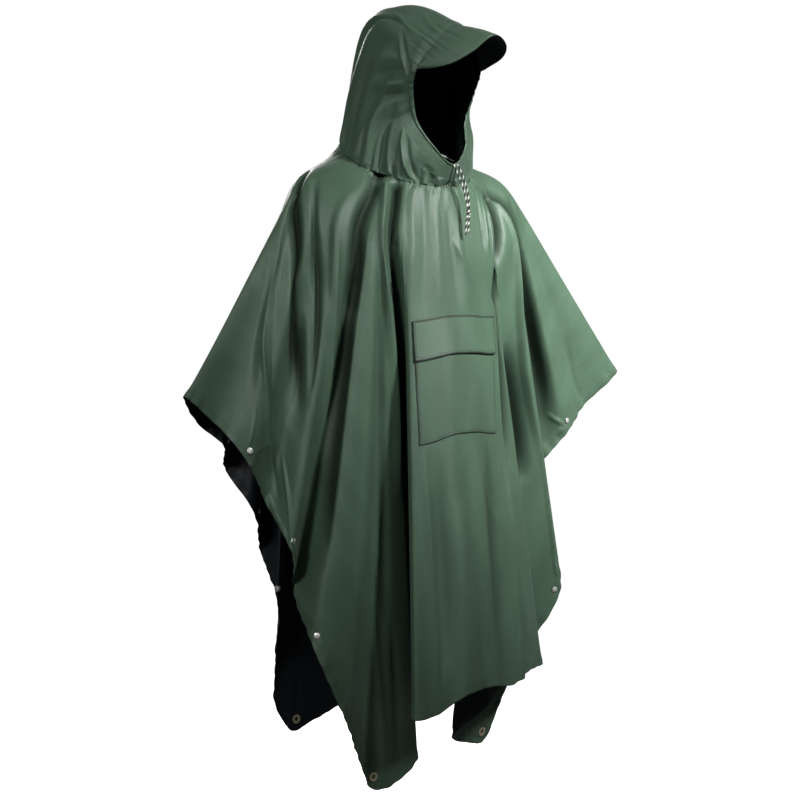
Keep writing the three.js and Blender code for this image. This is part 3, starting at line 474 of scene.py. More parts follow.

# %% [markdown]
# ## Creases that the photo shows
# Most creases of the front are picked in the photo. Each is given by three pixels: its
# start, its middle and its end. The script looks through the camera, finds where the plain sheet
# shows at each pixel, and so where on the cut the crease starts and ends and how far it bows. Picks
# keep their meaning when the sheet or the camera changes.

# %% The creases picked in the photo
# pixels across and down of start, middle and end, half width start, end (mm), height (mm),
# sharpness, left at start, left at end
PHOTO_CREASES = np.array([
    # beside the panel and down the wearer's right side
    [385, 184, 388, 300, 399, 500, 7, 11, 10, 0.3, 0.9, 0.1],
    [377, 174, 360, 222, 350, 300, 13, 20, -19, 0.1, 0.6, 0.4],
    [352, 285, 338, 390, 322, 560, 18, 28, -19, 0.1, 0.3, 0.2],
    [372, 250, 370, 400, 362, 620, 12, 26, 5, 0.1, 0.1, 0.2],
    [382, 240, 382, 400, 385, 640, 8, 16, -7, 0.1, 0.2, 0.1],
    [352, 190, 335, 280, 318, 470, 12, 18, 9, 0.1, 0.2, 0.1],
    # over the wearer's right arm
    [303, 174, 296, 240, 297, 420, 13, 22, -19, 0.15, 0.7, 0.1],
    [316, 180, 316, 270, 308, 400, 10, 14, -12, 0.15, 0.2, 0.1],
    [284, 215, 272, 280, 259, 400, 14, 20, 12, 0.1, 0.1, 0.3],
    [266, 313, 264, 370, 270, 470, 6, 9, 7, 0.7, 0.1, 0.2],
    [272, 330, 272, 400, 279, 500, 5, 8, -4, 0.4, 0.1, 0.2],
    # the front right corner
    [352, 735, 362, 755, 372, 770, 4, 5, 2.5, 0.5, 0.4, 0.4],
    [392, 620, 396, 680, 398, 770, 8, 12, -3.5, 0.2, 0.1, 0.7],
    [372, 600, 378, 680, 384, 780, 10, 16, 4, 0.1, 0.1, 0.8],
    # the front panel, from the neck gathers to the hem
    [412, 190, 412, 225, 410, 290, 7, 11, 2.2, 0.1, 0.6, 0.1],
    [424, 192, 425, 240, 423, 320, 8, 12, -2.8, 0.1, 0.6, 0.1],
    [436, 200, 438, 250, 441, 318, 8, 13, 2.6, 0.1, 0.5, 0.1],
    [448, 215, 453, 255, 458, 300, 7, 12, -2.8, 0.1, 0.4, 0.1],
    [458, 225, 462, 262, 470, 310, 8, 13, 2.4, 0.1, 0.3, 0.1],
    [452, 238, 462, 258, 474, 282, 6, 8, 2.5, 0.3, 0.1, 0.1],
    [424, 452, 430, 560, 438, 712, 8, 10, 8, 0.2, 0.3, 0.9],
    [444, 660, 446, 682, 448, 704, 6, 8, 5, 0.3, 0.1, 0.6],
    [505, 450, 513, 560, 521, 676, 9, 12, 9, 0.25, 0.1, 0.8],
    [516, 560, 524, 620, 531, 665, 6, 8, -4, 0.2, 0.1, 0.5],
    [527, 672, 531, 664, 536, 660, 4, 4, 3, 0.5, 0.3, 0.6],
    # down the wearer's left side
    [477, 196, 481, 222, 485, 252, 3, 4, -4, 0.6, 0.4, 0.1],
    [485, 196, 490, 226, 494, 262, 3, 4, -4.5, 0.6, 0.4, 0.1],
    [481, 196, 486, 224, 489, 258, 3, 5, 3, 0.5, 0.3, 0.1],
    [499, 205, 520, 322, 541, 452, 9, 12, 12, 0.35, 0.3, 0.3],
    [541, 452, 549, 510, 556, 572, 8, 8, 3.5, 0.3, 0.2, 0.5],
    [518, 207, 560, 300, 596, 380, 16, 30, 6, 0.05, 0.1, 0.3],
    [566, 340, 572, 372, 582, 402, 6, 8, -4, 0.3, 0.1, 0.4],
    [548, 414, 556, 420, 566, 425, 4, 4, 3.5, 0.6, 0.1, 0.6],
    [556, 436, 562, 430, 567, 427, 4, 4, 3, 0.6, 0.1, 0.6],
    [553, 560, 555, 568, 557, 576, 3, 3, 3, 0.6, 0.2, 0.6],
    [457, 730, 470, 727, 484, 722, 4, 4, 3, 0.6, 0.2, 0.2],
], float)


def photo_pixels(points):
    """Where points in mm show in the photo, and their depth: the picture's middle + the lens's
    length in pixels x the distance sideways or up / the depth."""
    eye = np.array(camera.location) / MM
    ahead = np.array(CAMERA_TARGET) / MM - eye
    ahead = ahead / np.linalg.norm(ahead)
    right = np.cross(ahead, [0.0, 0.0, 1.0])
    right = right / np.linalg.norm(right)
    away = points - eye
    depth = away @ ahead
    scale = CAMERA_LENS / CAMERA_SENSOR * PHOTO_WIDTH / depth
    return np.stack([PHOTO_WIDTH / 2 + away @ right * scale,
                     PHOTO_WIDTH / 2 - away @ np.cross(right, ahead) * scale], -1), depth


def seen_places(pixels):
    """Flat places of the plain sheet at photo pixels. Of the triangles of its grid whose picture
    holds a pixel it takes the nearest, and mixes the flat places of the corners by their shares
    of the area. A pixel just off the edge takes the triangle that it misses by least."""
    picture, depth = photo_pixels(sheet_plain[::2, ::2])
    corners = np.concatenate([picture, depth[..., None], sheet_flat[::2, ::2]], -1)
    beside = np.roll(corners, -1, axis=1)
    triangles = np.concatenate([
        np.stack([corners[:-1], corners[1:], beside[1:]], 2).reshape(-1, 3, 5),
        np.stack([corners[:-1], beside[1:], beside[:-1]], 2).reshape(-1, 3, 5)])
    places = []
    for pixel in pixels:
        x, y = np.moveaxis(triangles[..., :2] - pixel, -1, 0)
        shares = (np.roll(x, -1, 1) * np.roll(y, -2, 1) - np.roll(x, -2, 1) * np.roll(y, -1, 1))
        area = shares.sum(-1, keepdims=True)
        shares = shares / np.where(area == 0, 1e-9, area)
        missed = np.maximum(0.0, -shares.min(-1))
        nearest = np.argmin(np.sum(shares * triangles[..., 2], -1) + missed * MISS_COST)
        places.append(shares[nearest] @ triangles[nearest, :, 3:])
    return np.array(places)


def crease_rows(picked):
    """Rows of a crease table from picks: start and end on the cut, and the bow, which is how far
    the middle lies to the side of the line between them."""
    places = seen_places(picked[:, :6].reshape(-1, 2)).reshape(-1, 3, 2)
    start, middle, end = places[:, 0], places[:, 1], places[:, 2]
    along = (end - start) / np.linalg.norm(end - start, axis=-1, keepdims=True)
    bow = np.sum((middle - start) * np.stack([along[:, 1], -along[:, 0]], -1), -1)
    return np.column_stack([start, end, bow, picked[:, 6:]])


sheet_creases = np.concatenate([crease_rows(PHOTO_CREASES), FLAT_CREASES])
print("Creases picked in the photo:", len(PHOTO_CREASES), "in all:", len(sheet_creases))

# %% [markdown]
# ## The creased sheet
# The plain sheet is moved out along its own normals by all the creases, gathers and hems.

# %% Move the sheet out
sheet_normals = normals_round(sheet_plain)
sheet_points = sheet_plain + sheet_normals * sheet_height(
    sheet_flat, sheet_line["shoulder_angle"], sheet_rows)[..., None]
print("Sheet grid:", sheet_points.shape)

# %% [markdown]
# ## Any point of the flat sheet
# The pocket and its flap lie on the sheet, so their points are found from their places on the flat
# cut: the line of cloth through a flat point is found by halving, for all points at once.


# %% Points by their place on the flat sheet
EYELET_INSET, SNAP_INSET = 25, 20
SNAPS_FROM_FOLD = (220, 460, 700)
PULL_REACH = 24.0
HALVINGS = 30


def place_on_sheet(flat):
    """The point of the creased sheet at a flat place. Halving finds the edge angle whose line has
    the place on it, from which side of the line the place lies."""
    middle = np.degrees(np.arctan2(flat[..., 0], -flat[..., 1]))
    low, high = middle - 20.0, middle + 20.0

    def side(angle):
        line = line_of_cloth(angle)
        along = line["end"] - line["start"]
        away = flat - line["start"]
        return along[..., 0] * away[..., 1] - along[..., 1] * away[..., 0]

    positive = side(low) > 0
    for _ in range(HALVINGS):
        half = (low + high) / 2
        same = (side(half) > 0) == positive
        low, high = np.where(same, half, low), np.where(same, high, half)
    line = line_of_cloth(low)
    distance = YOKE + np.linalg.norm(flat - line["start"], axis=-1)
    down = point_on_line(line, distance + 4.0) - point_on_line(line, distance - 4.0)
    other, another = line_of_cloth(low + 0.4), line_of_cloth(low - 0.4)
    around = point_on_line(other, distance) - point_on_line(another, distance)
    normal = np.cross(down, around)
    normal = normal / np.linalg.norm(normal, axis=-1, keepdims=True)
    height = sheet_height(flat, line["shoulder_angle"], distance)
    return point_on_line(line, distance) + normal * height[..., None], normal


def pull_to_fasteners(points, flat):
    """Moves the cloth round each eyelet and snap to the middle of its CAD pieces: the gap there
    x a bell curve of the distance on the flat sheet."""
    moved = points.copy()
    places = []
    for side, sign in (("right", -1), ("left", 1)):
        for half, end in (("front", -FRONT_LENGTH + EYELET_INSET),
                          ("back", BACK_LENGTH - EYELET_INSET)):
            places.append(([f"eyelet_{half}_{side}"], sign * (HALF_WIDTH - EYELET_INSET), end))
            for k, from_fold in enumerate(SNAPS_FROM_FOLD):
                y = FOLD_LINE_BEHIND_NECK + (from_fold if half == "back" else -from_fold)
                name = f"snap_{half}_{side}_{k + 1}"
                places.append(([name + "_cap", name + "_socket"],
                               sign * (HALF_WIDTH - SNAP_INSET), y))
    for nodes, x, y in places:
        target = np.mean([np.mean(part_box(node), axis=0) for node in nodes], axis=0) / MM
        here, _ = place_on_sheet(np.array([x, y], float))
        away = np.linalg.norm(flat - np.array([x, y]), axis=-1)
        moved += (target - here) * np.exp(-(away / PULL_REACH)**2)[..., None]
    return moved


sheet_points = pull_to_fasteners(sheet_points, sheet_flat)
print("Sheet box (mm):", sheet_points.min((0, 1)).round(), sheet_points.max((0, 1)).round())

# %% [markdown]
# ## From a grid to a mesh
# A grid becomes quads, with the flat place of each point as its UV map, in metres, so that the
# weave follows the cut of the cloth. The body is one sheet, but one mesh of it would have too many
# triangles, so it is made as two halves that meet along the arms. They share the points and the
# normals of that line, so the light runs on over it and no seam shows.


# %% Making meshes
def grid_faces(rows, columns, closed):
    """Corner numbers of the quads of a grid: each point, the one below, across and beside."""
    i = np.arange(rows - 1)[:, None]
    j = np.arange(columns if closed else columns - 1)[None, :]
    beside = (j + 1) % columns
    return np.stack([i * columns + j, (i + 1) * columns + j, (i + 1) * columns + beside,
                     i * columns + beside], -1).reshape(-1, 4)


def make_piece(name, points, faces, uv=None, values=None, normals=None):
    """A mesh object from an array of points in mm and an array of quads, with a UV map and
    point attributes, and with given normals where two pieces meet without a seam."""
    points = np.asarray(points, float).reshape(-1, 3) * MM
    mesh = bpy.data.meshes.new(name)
    mesh.vertices.add(len(points))
    mesh.vertices.foreach_set("co", points.ravel().astype(np.float32))
    mesh.loops.add(faces.size)
    mesh.loops.foreach_set("vertex_index", faces.ravel().astype(np.int32))
    mesh.polygons.add(len(faces))
    mesh.polygons.foreach_set("loop_start", np.arange(0, faces.size, 4, dtype=np.int32))
    mesh.polygons.foreach_set("loop_total", np.full(len(faces), 4, np.int32))
    mesh.update(calc_edges=True)
    mesh.polygons.foreach_set("use_smooth", np.ones(len(faces), bool))
    if uv is not None:
        layer = mesh.uv_layers.new(name="flat")
        corner = np.asarray(uv, float).reshape(-1, 2)[faces.ravel()] * MM
        layer.data.foreach_set("uv", corner.ravel().astype(np.float32))
    for key, value in (values or {}).items():
        attribute = mesh.attributes.new(key, "FLOAT", "POINT")
        attribute.data.foreach_set("value", np.asarray(value, np.float32).ravel())
    mesh.validate()
    if normals is not None:
        mesh.normals_split_custom_set_from_vertices(normals.reshape(-1, 3))
    piece = bpy.data.objects.new(name, mesh)
    bpy.context.scene.collection.objects.link(piece)
    return piece


TROUGH_FROM, TROUGH_FULL = 2.0, 15.0


def trough_depth(flat):
    """How deep a place lies in a trough: 0 down to 2 mm deep, rising evenly to 1 at 15 mm."""
    depth = -crease_height(sheet_creases, flat)
    return np.clip((depth - TROUGH_FROM) / (TROUGH_FULL - TROUGH_FROM), 0.0, 1.0)


def half_sheet(name, first_angle):
    """The half of the sheet from the arm line at an edge angle, half way round, as one piece. Its
    first and last columns are the other half's too, with the same normals."""
    first = int(np.argmin(np.abs(sheet_angles - first_angle)))
    last = int(np.argmin(np.abs(sheet_angles - (first_angle + 180.0) % 360.0)))
    columns = np.arange(first, last + 1 if last > first else last + 1 + SHEET_AROUND) % SHEET_AROUND
    points, flat = sheet_points[:, columns], sheet_flat[:, columns]
    return make_piece(name, points, grid_faces(*points.shape[:2], False), uv=flat,
                      values={"edge_gap": edge_gap(flat) * MM, "trough": trough_depth(flat)},
                      normals=seam_normals[:, columns])


seam_normals = normals_round(sheet_points)
front_cloth = half_sheet("front_cloth", 270.0)
back_cloth = half_sheet("back_cloth", 90.0)
print("Sheet triangles:", 2 * len(front_cloth.data.polygons), 2 * len(back_cloth.data.polygons))

# %% [markdown]
# ## The hood
# Lines of cloth rise from the neck seam and curve over the head to the face opening. The neck seam
# is gathered, so long soft folds rise from it.

# %% The hood's tables
# angle, end x, y, z, first pull x, y, z, second pull x, y, z
HOOD_LINES = np.array([
    [0, 0, -154, -29, 0, -142, -56, 0, -150, -43],
    [25, 34, -144, 2, 50, -126, -40, 43, -140, -14],
    [50, 54, -117, 50, 92, -88, -8, 76, -106, 32],
    [75, 68, -124, 100, 102, -34, 44, 94, -82, 92],
    [105, 73, -141, 142, 94, 20, 112, 98, -60, 194],
    [130, 57, -152, 174, 66, 50, 252, 84, 6, 278],
    [155, 36, -165, 201, 52, 91, 328, 58, -20, 272],
    [180, 0, -172, 222, 0, 100, 342, 0, -20, 286],
], float)
# angle, half width, height, reach
HOOD_FOLDS = np.array([
    [-22, 9, -5, 0.5], [-41, 8, 6, 0.7], [-60, 9, -5, 0.6], [-78, 8, 7, 0.8], [-97, 9, -6, 0.6],
    [-116, 9, 6, 0.7], [-137, 10, -6, 0.6], [-160, 9, 6, 0.7], [175, 10, -5, 0.5],
    [150, 9, 7, 0.7], [128, 9, -6, 0.6], [106, 9, 6, 0.7], [84, 9, -6, 0.7], [62, 8, 6, 0.6],
    [40, 9, -5, 0.6], [20, 8, 4, 0.5],
], float)
HOOD_FOLD_AT_SEAM = 0.12
HOOD_AROUND = 480
HOOD_UP = 110
CHANNEL_FROM = 0.93

# %% The creases of the hood
# mm round the seam and up from it: start, end, bow, half width start, end, height, sharpness,
# start, end
HOOD_CREASES = np.array([
    [-112, 261, -71, 33, 2, 4, 5, 6, 0.6, 0.2, 0.6],
    [-97, 255, -60, 36, 2, 6, 6, -5, 0.3, 0.2, 0.5],
    [-270, 322, -200, 363, 3, 6, 5, -4, 0.5, 0.2, 0.2],
    [-256, 316, -186, 352, 3, 6, 5, 3, 0.4, 0.2, 0.2],
    [-262, 20, -285, 190, 3, 6, 10, -4, 0.2, 0.8, 0.1],
    [-240, 14, -262, 230, -4, 6, 10, 4, 0.3, 0.8, 0.1],
    [-216, 14, -250, 262, 4, 5, 10, -5, 0.2, 0.8, 0.1],
    [-194, 14, -232, 285, 3, 6, 9, 5, 0.3, 0.8, 0.1],
    [-172, 14, -205, 280, -3, 5, 9, -4.5, 0.2, 0.8, 0.1],
    [-150, 14, -185, 270, 3, 5, 9, 4, 0.3, 0.8, 0.1],
    [-128, 14, -152, 290, 3, 5, 9, -4.5, 0.2, 0.8, 0.1],
    [-106, 14, -132, 230, -3, 5, 8, 4, 0.3, 0.8, 0.1],
    [-88, 14, -104, 180, 3, 4, 7, -4, 0.3, 0.8, 0.1],
    [-48, 12, -52, 150, 2, 4, 7, 4, 0.3, 0.8, 0.1],
    [-34, 12, -34, 120, 2, 4, 6, -4, 0.3, 0.8, 0.1],
    [-20, 12, -18, 130, -2, 4, 6, 3.5, 0.3, 0.8, 0.1],
    [-2, 10, 4, 80, 1, 4, 5, -4, 0.4, 0.9, 0.1],
    [12, 12, 20, 110, 2, 4, 6, 4, 0.3, 0.8, 0.1],
    [34, 12, 46, 140, -2, 5, 7, -4, 0.3, 0.8, 0.1],
    [56, 12, 74, 200, 3, 5, 8, 4, 0.3, 0.8, 0.1],
    [80, 12, 104, 240, -3, 5, 9, -5, 0.2, 0.8, 0.1],
    [104, 12, 130, 280, 4, 5, 9, 5, 0.3, 0.8, 0.1],
    [128, 12, 160, 250, -3, 5, 9, -4, 0.2, 0.8, 0.1],
    [152, 12, 190, 290, 4, 6, 10, 5, 0.3, 0.8, 0.1],
    [178, 12, 214, 260, -3, 5, 10, -5, 0.2, 0.8, 0.1],
    [206, 12, 244, 280, 3, 6, 10, 4, 0.3, 0.8, 0.1],
    [234, 12, 268, 240, -4, 6, 10, -4, 0.2, 0.8, 0.1],
    [262, 12, 292, 200, 3, 6, 10, 5, 0.3, 0.8, 0.1],
    [290, 12, 312, 250, -3, 6, 10, -4, 0.2, 0.8, 0.1],
    [318, 12, 334, 210, 3, 6, 10, 4, 0.3, 0.8, 0.1],
    [346, 12, 352, 260, -3, 6, 10, -4, 0.2, 0.8, 0.1],
    [-292, 12, -308, 210, 3, 6, 10, 4, 0.3, 0.8, 0.1],
    [-320, 12, -330, 240, -3, 6, 10, -4, 0.2, 0.8, 0.1],
    [-350, 12, -356, 200, 3, 6, 10, 4, 0.3, 0.8, 0.1],
    [-258, 150, -252, 310, 5, 7, 9, -4, 0.2, 0.2, 0.2],
    [-240, 180, -228, 330, 5, 6, 8, 4, 0.3, 0.2, 0.2],
    [-222, 190, -206, 340, 5, 6, 8, -4.5, 0.2, 0.2, 0.2],
    [-204, 200, -180, 345, 5, 6, 8, 4, 0.3, 0.2, 0.2],
    [-186, 200, -160, 350, 4, 5, 7, -4, 0.3, 0.2, 0.2],
    [-140, 210, -128, 350, 4, 5, 7, -4, 0.3, 0.2, 0.2],
    [-290, 130, -300, 330, 5, 9, 12, -4, 0.1, 0.2, 0.2],
    [-330, 250, -290, 350, 6, 8, 8, 3, 0.3, 0.1, 0.3],
    [300, 240, 240, 350, -6, 8, 8, -3, 0.3, 0.1, 0.3],
    [-360, 300, -330, 372, 4, 5, 6, 2.5, 0.4, 0.1, 0.6],
    [340, 300, 330, 372, 4, 5, 6, -2.5, 0.4, 0.1, 0.6],
], float)
HOOD_MM_PER_DEGREE = 2.1
HOOD_MM_UP = 380.0

# %% [markdown]
# The other side of the hood mirrors the table. Small folds, the gathers at the seam and the
# puckered channel of the drawcord are moved out from the plain hood.


# %% The hood's surface
def hood_plain(angle, rise):
    """A cubic curve with four control points, from the neck seam (rise 0) to the edge of the face
    opening (rise 1)."""
    mirror = HOOD_LINES[(HOOD_LINES[:, 0] > 0) & (HOOD_LINES[:, 0] < 180)].copy()
    mirror[:, [0, 1, 4, 7]] *= -1
    table = np.concatenate([HOOD_LINES, mirror])
    row = loop_curve(table[:, 0], table[:, 1:], angle)
    neck = neck_point(angle) + np.array([0.0, 0.0, 0.3])
    one, two, three, four = neck, row[..., 3:6], row[..., 6:9], row[..., 0:3]
    rise = rise[..., None]
    return ((1 - rise)**3 * one + 3 * rise * (1 - rise)**2 * two
            + 3 * rise**2 * (1 - rise) * three + rise**3 * four)


def hood_height(angle, rise):
    """Folds from the table, fine gathers near the seam, and the rolled, puckered channel."""
    total = np.zeros(np.broadcast(angle, rise).shape)
    for fold_angle, half_width, height, reach in HOOD_FOLDS:
        away = np.abs(np.mod(angle - fold_angle + 540.0, 360.0) - 180.0) / half_width
        across = np.where(away < 1, 0.5 + 0.5 * np.cos(np.pi * away), 0.0)
        onward = HOOD_FOLD_AT_SEAM + (1 - HOOD_FOLD_AT_SEAM) * rise / reach
        along = np.where(onward < 1, np.sin(np.pi * np.clip(onward, 0, 1)), 0.0)
        total = total + height * across * along
    turn = np.radians(angle)
    gather = (np.sin(31 * turn + 1.3 * np.sin(2 * turn + 1)) + 0.6 * np.sin(47 * turn)
              + 0.5 * np.sin(19 * turn + 2))
    place = np.stack([(np.mod(angle + 180.0, 360.0) - 180.0) * HOOD_MM_PER_DEGREE,
                      np.broadcast_to(rise, total.shape) * HOOD_MM_UP], -1)
    total = total + crease_height(HOOD_CREASES, place)
    low = rise / 0.045
    knots = np.sin(88 * turn + 2.0 * np.sin(7 * turn)) + 0.7 * np.sin(131 * turn + 1.0)
    total = total + 1.6 * gather * low * np.exp(1 - low) + 0.9 * knots * np.exp(
        -(rise / 0.03)**2)
    channel = np.clip((rise - CHANNEL_FROM) / (1 - CHANNEL_FROM), 0.0, 1.0)
    pucker = np.sin(38 * turn + 1.5 * np.sin(5 * turn)) + 0.6 * np.sin(61 * turn + 1)
    near = np.exp(-((1 - rise) / 0.09)**2)
    return total + 2.2 * np.sin(np.pi * channel)**0.7 + 0.45 * pucker * near


def hood_face(angle, rise):
    """The point of the creased hood and its outward normal."""
    up = hood_plain(angle, rise + 0.01) - hood_plain(angle, rise - 0.01)
    around = hood_plain(angle + 1.0, rise) - hood_plain(angle - 1.0, rise)
    normal = np.cross(around, up)
    normal = normal / np.linalg.norm(normal, axis=-1, keepdims=True)
    return hood_plain(angle, rise) + normal * hood_height(angle, rise)[..., None], normal


hood_angle, hood_rise = np.meshgrid(np.linspace(180.0, 540.0, HOOD_AROUND + 1),
                                    np.linspace(1.0, 0.0, HOOD_UP + 1))
hood_points, _ = hood_face(hood_angle, hood_rise)
hood_uv = np.stack([(hood_angle - 360) / 180 * 380.0, (1 - hood_rise) * 400.0], -1)
hood_piece = make_piece("hood_cloth", hood_points, grid_faces(*hood_angle.shape, False),
                        uv=hood_uv, values={"edge_gap": (1 - hood_rise) * 300.0 * MM})
print("Hood triangles:", 2 * len(hood_piece.data.polygons))

# %% [markdown]
# ## The brim
# A stiffened crescent runs from the top of the face opening to its free edge, arched upwards. It
# is a closed shell: a top and an underside that meet at a rounded rim.

# %% The brim
# angle, x, y, z of the free edge
BRIM_EDGE = np.array([
    [0, 0, -154, -17],
    [-105, -72, -150, 141],
    [-120, -62, -180, 143],
    [-140, -44, -214, 151],
    [-160, -20, -244, 172],
    [180, 4, -258, 196],
    [160, 30, -256, 199],
    [140, 58, -240, 182],
    [120, 72, -204, 162],
    [105, 75, -152, 146],
], float)
BRIM_THICKNESS = 2.6
BRIM_ARCH = 4.5
BRIM_FROM = 106.0
BRIM_DEPTH = 100.0
BRIM_MM_PER_DEGREE = 1.3
BRIM_ACROSS, BRIM_OUT = 120, 34


def brim_grid(across, out, side):
    """Root + way out x reach + the arch, then half the thickness up or down, drawn together at
    the free edge."""
    angle, reach = np.meshgrid(np.linspace(BRIM_FROM, 360 - BRIM_FROM, across),
                               np.linspace(0.0, 1.0, out))
    root, _ = hood_face(angle, np.ones_like(angle))
    tip = loop_curve(BRIM_EDGE[:, 0], BRIM_EDGE[:, 1:], angle)
    way = tip - root
    around = hood_plain(angle + 1, np.ones_like(angle)) - hood_plain(angle - 1, np.ones_like(angle))
    normal = np.cross(around, way)
    normal = normal / np.linalg.norm(normal, axis=-1, keepdims=True)
    normal = np.where(normal[..., 2:] < 0, -normal, normal)
    arch = BRIM_ARCH * 4 * reach * (1 - reach)
    thick = BRIM_THICKNESS / 2 * np.sqrt(np.clip(1 - reach**8, 0, 1))
    height = arch + side * thick - BRIM_THICKNESS / 2
    points = root + way * reach[..., None] + normal * height[..., None]
    flat = np.stack([(angle - 180) * BRIM_MM_PER_DEGREE, reach * BRIM_DEPTH], -1)
    return points, flat, reach


brim_top, brim_flat, brim_reach = brim_grid(BRIM_ACROSS, BRIM_OUT, 1)
brim_under, _, _ = brim_grid(BRIM_ACROSS, BRIM_OUT, -1)
brim_shell = np.concatenate([brim_top, brim_under[::-1][1:]])
brim_uv = np.concatenate([brim_flat, brim_flat[::-1][1:]])
brim_gap = np.concatenate([brim_reach, brim_reach[::-1][1:]])
# The brim's underside is marked to take the inside's near-black colour, which is partly painted
# shade.
brim_dark_underside = np.zeros(brim_gap.shape)
brim_dark_underside[len(brim_top):] = 1.0
brim_faces = grid_faces(*brim_shell.shape[:2], False)[:, ::-1]
brim_piece = make_piece("hood_brim_cloth", brim_shell, brim_faces, uv=brim_uv,
                        values={"edge_gap": (1 - brim_gap) * BRIM_DEPTH * MM,
                                "dark_underside": brim_dark_underside})
print("Brim triangles:", 2 * len(brim_piece.data.polygons))

# %% [markdown]
# ## The pocket and its flap
# Each is a patch whose points are the sheet's own, moved out. Its edge turns down to the sheet,
# where it is sewn on.

# %% The patches
POCKET_HALF_WIDTH, POCKET_TOP, POCKET_HEIGHT = 101.0, 370.0, 218.0
POCKET_STAND_OFF, POCKET_FULLNESS = 2.5, 2.6
FLAP_HALF_WIDTH, FLAP_TOP, FLAP_HEIGHT = 102.5, 365.0, 72.0
FLAP_STAND_OFF, FLAP_LIFT = 1.7, 2.5
PATCH_TURN, PATCH_CLEAR = 1.6, 0.15
PATCH_STITCH_AT, PATCH_STITCH_DENT = 4.0, 0.5


def hump(part):
    """Nought at both ends and one in the middle: 4 x part x (1 - part)."""
    return 4 * part * (1 - part)


def pocket_out(across, down):
    """How far the pocket's face stands out from the sheet."""
    return POCKET_STAND_OFF + POCKET_FULLNESS * hump(across) * hump(down)


def flap_out(across, down):
    """How far the flap's face stands out: above the pocket's face, and lifted at its free edge."""
    on_pocket = np.clip(down * FLAP_HEIGHT - 5.0, 0.0, None) / POCKET_HEIGHT
    return FLAP_STAND_OFF + pocket_out(across, on_pocket) + FLAP_LIFT * down**2


def patch(name, half_width, top, height, out, across, down, free_edge):
    """A patch on the front: flat grid, sheet point + normal x stand-off, with a border that turns
    down to the sheet within its last few millimetres."""
    x, y = np.meshgrid(np.linspace(-half_width, half_width, across),
                       -np.linspace(top, top + height, down))
    flat = np.stack([x, y], -1)
    point, normal = place_on_sheet(flat)
    part_across = (x / half_width + 1) / 2
    part_down = (-y - top) / height
    gap = np.minimum(half_width - np.abs(x), -y - top)
    if not free_edge:
        gap = np.minimum(gap, top + height + y)
    turned = np.clip(gap / PATCH_TURN, 0.0, 1.0)
    stand = out(part_across, part_down) * np.sqrt(turned * (2 - turned)) + PATCH_CLEAR
    stitched = -PATCH_STITCH_DENT * np.exp(-((gap - PATCH_STITCH_AT) / 1.1)**2)
    wave = 0.5 * np.sin(x / 7.5 + 1.3 * np.sin(y / 19)) * np.exp(-(gap / 12.0)**2)
    points = point + normal * (stand + stitched + wave * turned)[..., None]
    edge = np.minimum(gap, top + height + y)
    return make_piece(name, points, grid_faces(down, across, False), uv=flat,
                      values={"edge_gap": edge * MM})


pocket_piece = patch("pocket_cloth", POCKET_HALF_WIDTH, POCKET_TOP, POCKET_HEIGHT, pocket_out,
                     130, 150, False)
flap_piece = patch("pocket_flap_cloth", FLAP_HALF_WIDTH, FLAP_TOP, FLAP_HEIGHT, flap_out,
                   130, 60, True)
print("Pocket and flap triangles:", 2 * len(pocket_piece.data.polygons),
      2 * len(flap_piece.data.polygons))

# %% [markdown]
# ## The drawcord
# Two strands of dark twisted cord leave the channel under the chin, meet in a knot and end in two
# short tails. Each is a tube round its route, given here in millimetres.

# %% The cord's routes
CORD_RADIUS = 1.7
CORD_KNOT = (27.0, -165.5, -118.0)
KNOT_HALF_WIDTH, KNOT_HALF_HEIGHT = 4.6, 5.6
ROPE_SIDES, ROPE_STEP = 18, 1.1
CORD_ROUTES = {
    "drawcord_strand_right": [
        (1, -155.4, -31), (4, -158.3, -41), (11, -158.5, -54), (18, -159, -69), (22.5, -161, -86),
        (24.6, -163.5, -102), (25.4, -165, -111.6)],
    "drawcord_strand_left": [
        (8, -155.4, -29.5), (13, -158.3, -39.5), (19.5, -158.5, -53), (25.5, -159, -68),
        (29.4, -161, -85), (29.6, -163.5, -101), (28.9, -165, -111.6)],
    "drawcord_tail_right": [
        (25.2, -165.5, -124.5), (22, -166, -134), (20.2, -166.5, -146), (20, -167.5, -160)],
    "drawcord_tail_left": [
        (29, -165.8, -124.5), (27.2, -166.8, -132), (25.6, -167.5, -142), (25.4, -168.5, -156)],
}


def smooth_route(points, count):
    """A curve through the points: between two neighbours a cubic whose slope at each point is
    half the way from the point before to the point after."""
    points = np.asarray(points, float)
    padded = np.concatenate([2 * points[:1] - points[1:2], points, 2 * points[-1:] - points[-2:-1]])
    slope = (padded[2:] - padded[:-2]) / 2
    at = np.linspace(0.0, len(points) - 1.0, count)
    k = np.clip(at.astype(int), 0, len(points) - 2)
    x = (at - k)[:, None]
    return ((2 * x**3 - 3 * x**2 + 1) * points[k] + (x**3 - 2 * x**2 + x) * slope[k]
            + (3 * x**2 - 2 * x**3) * points[k + 1] + (x**3 - x**2) * slope[k + 1])


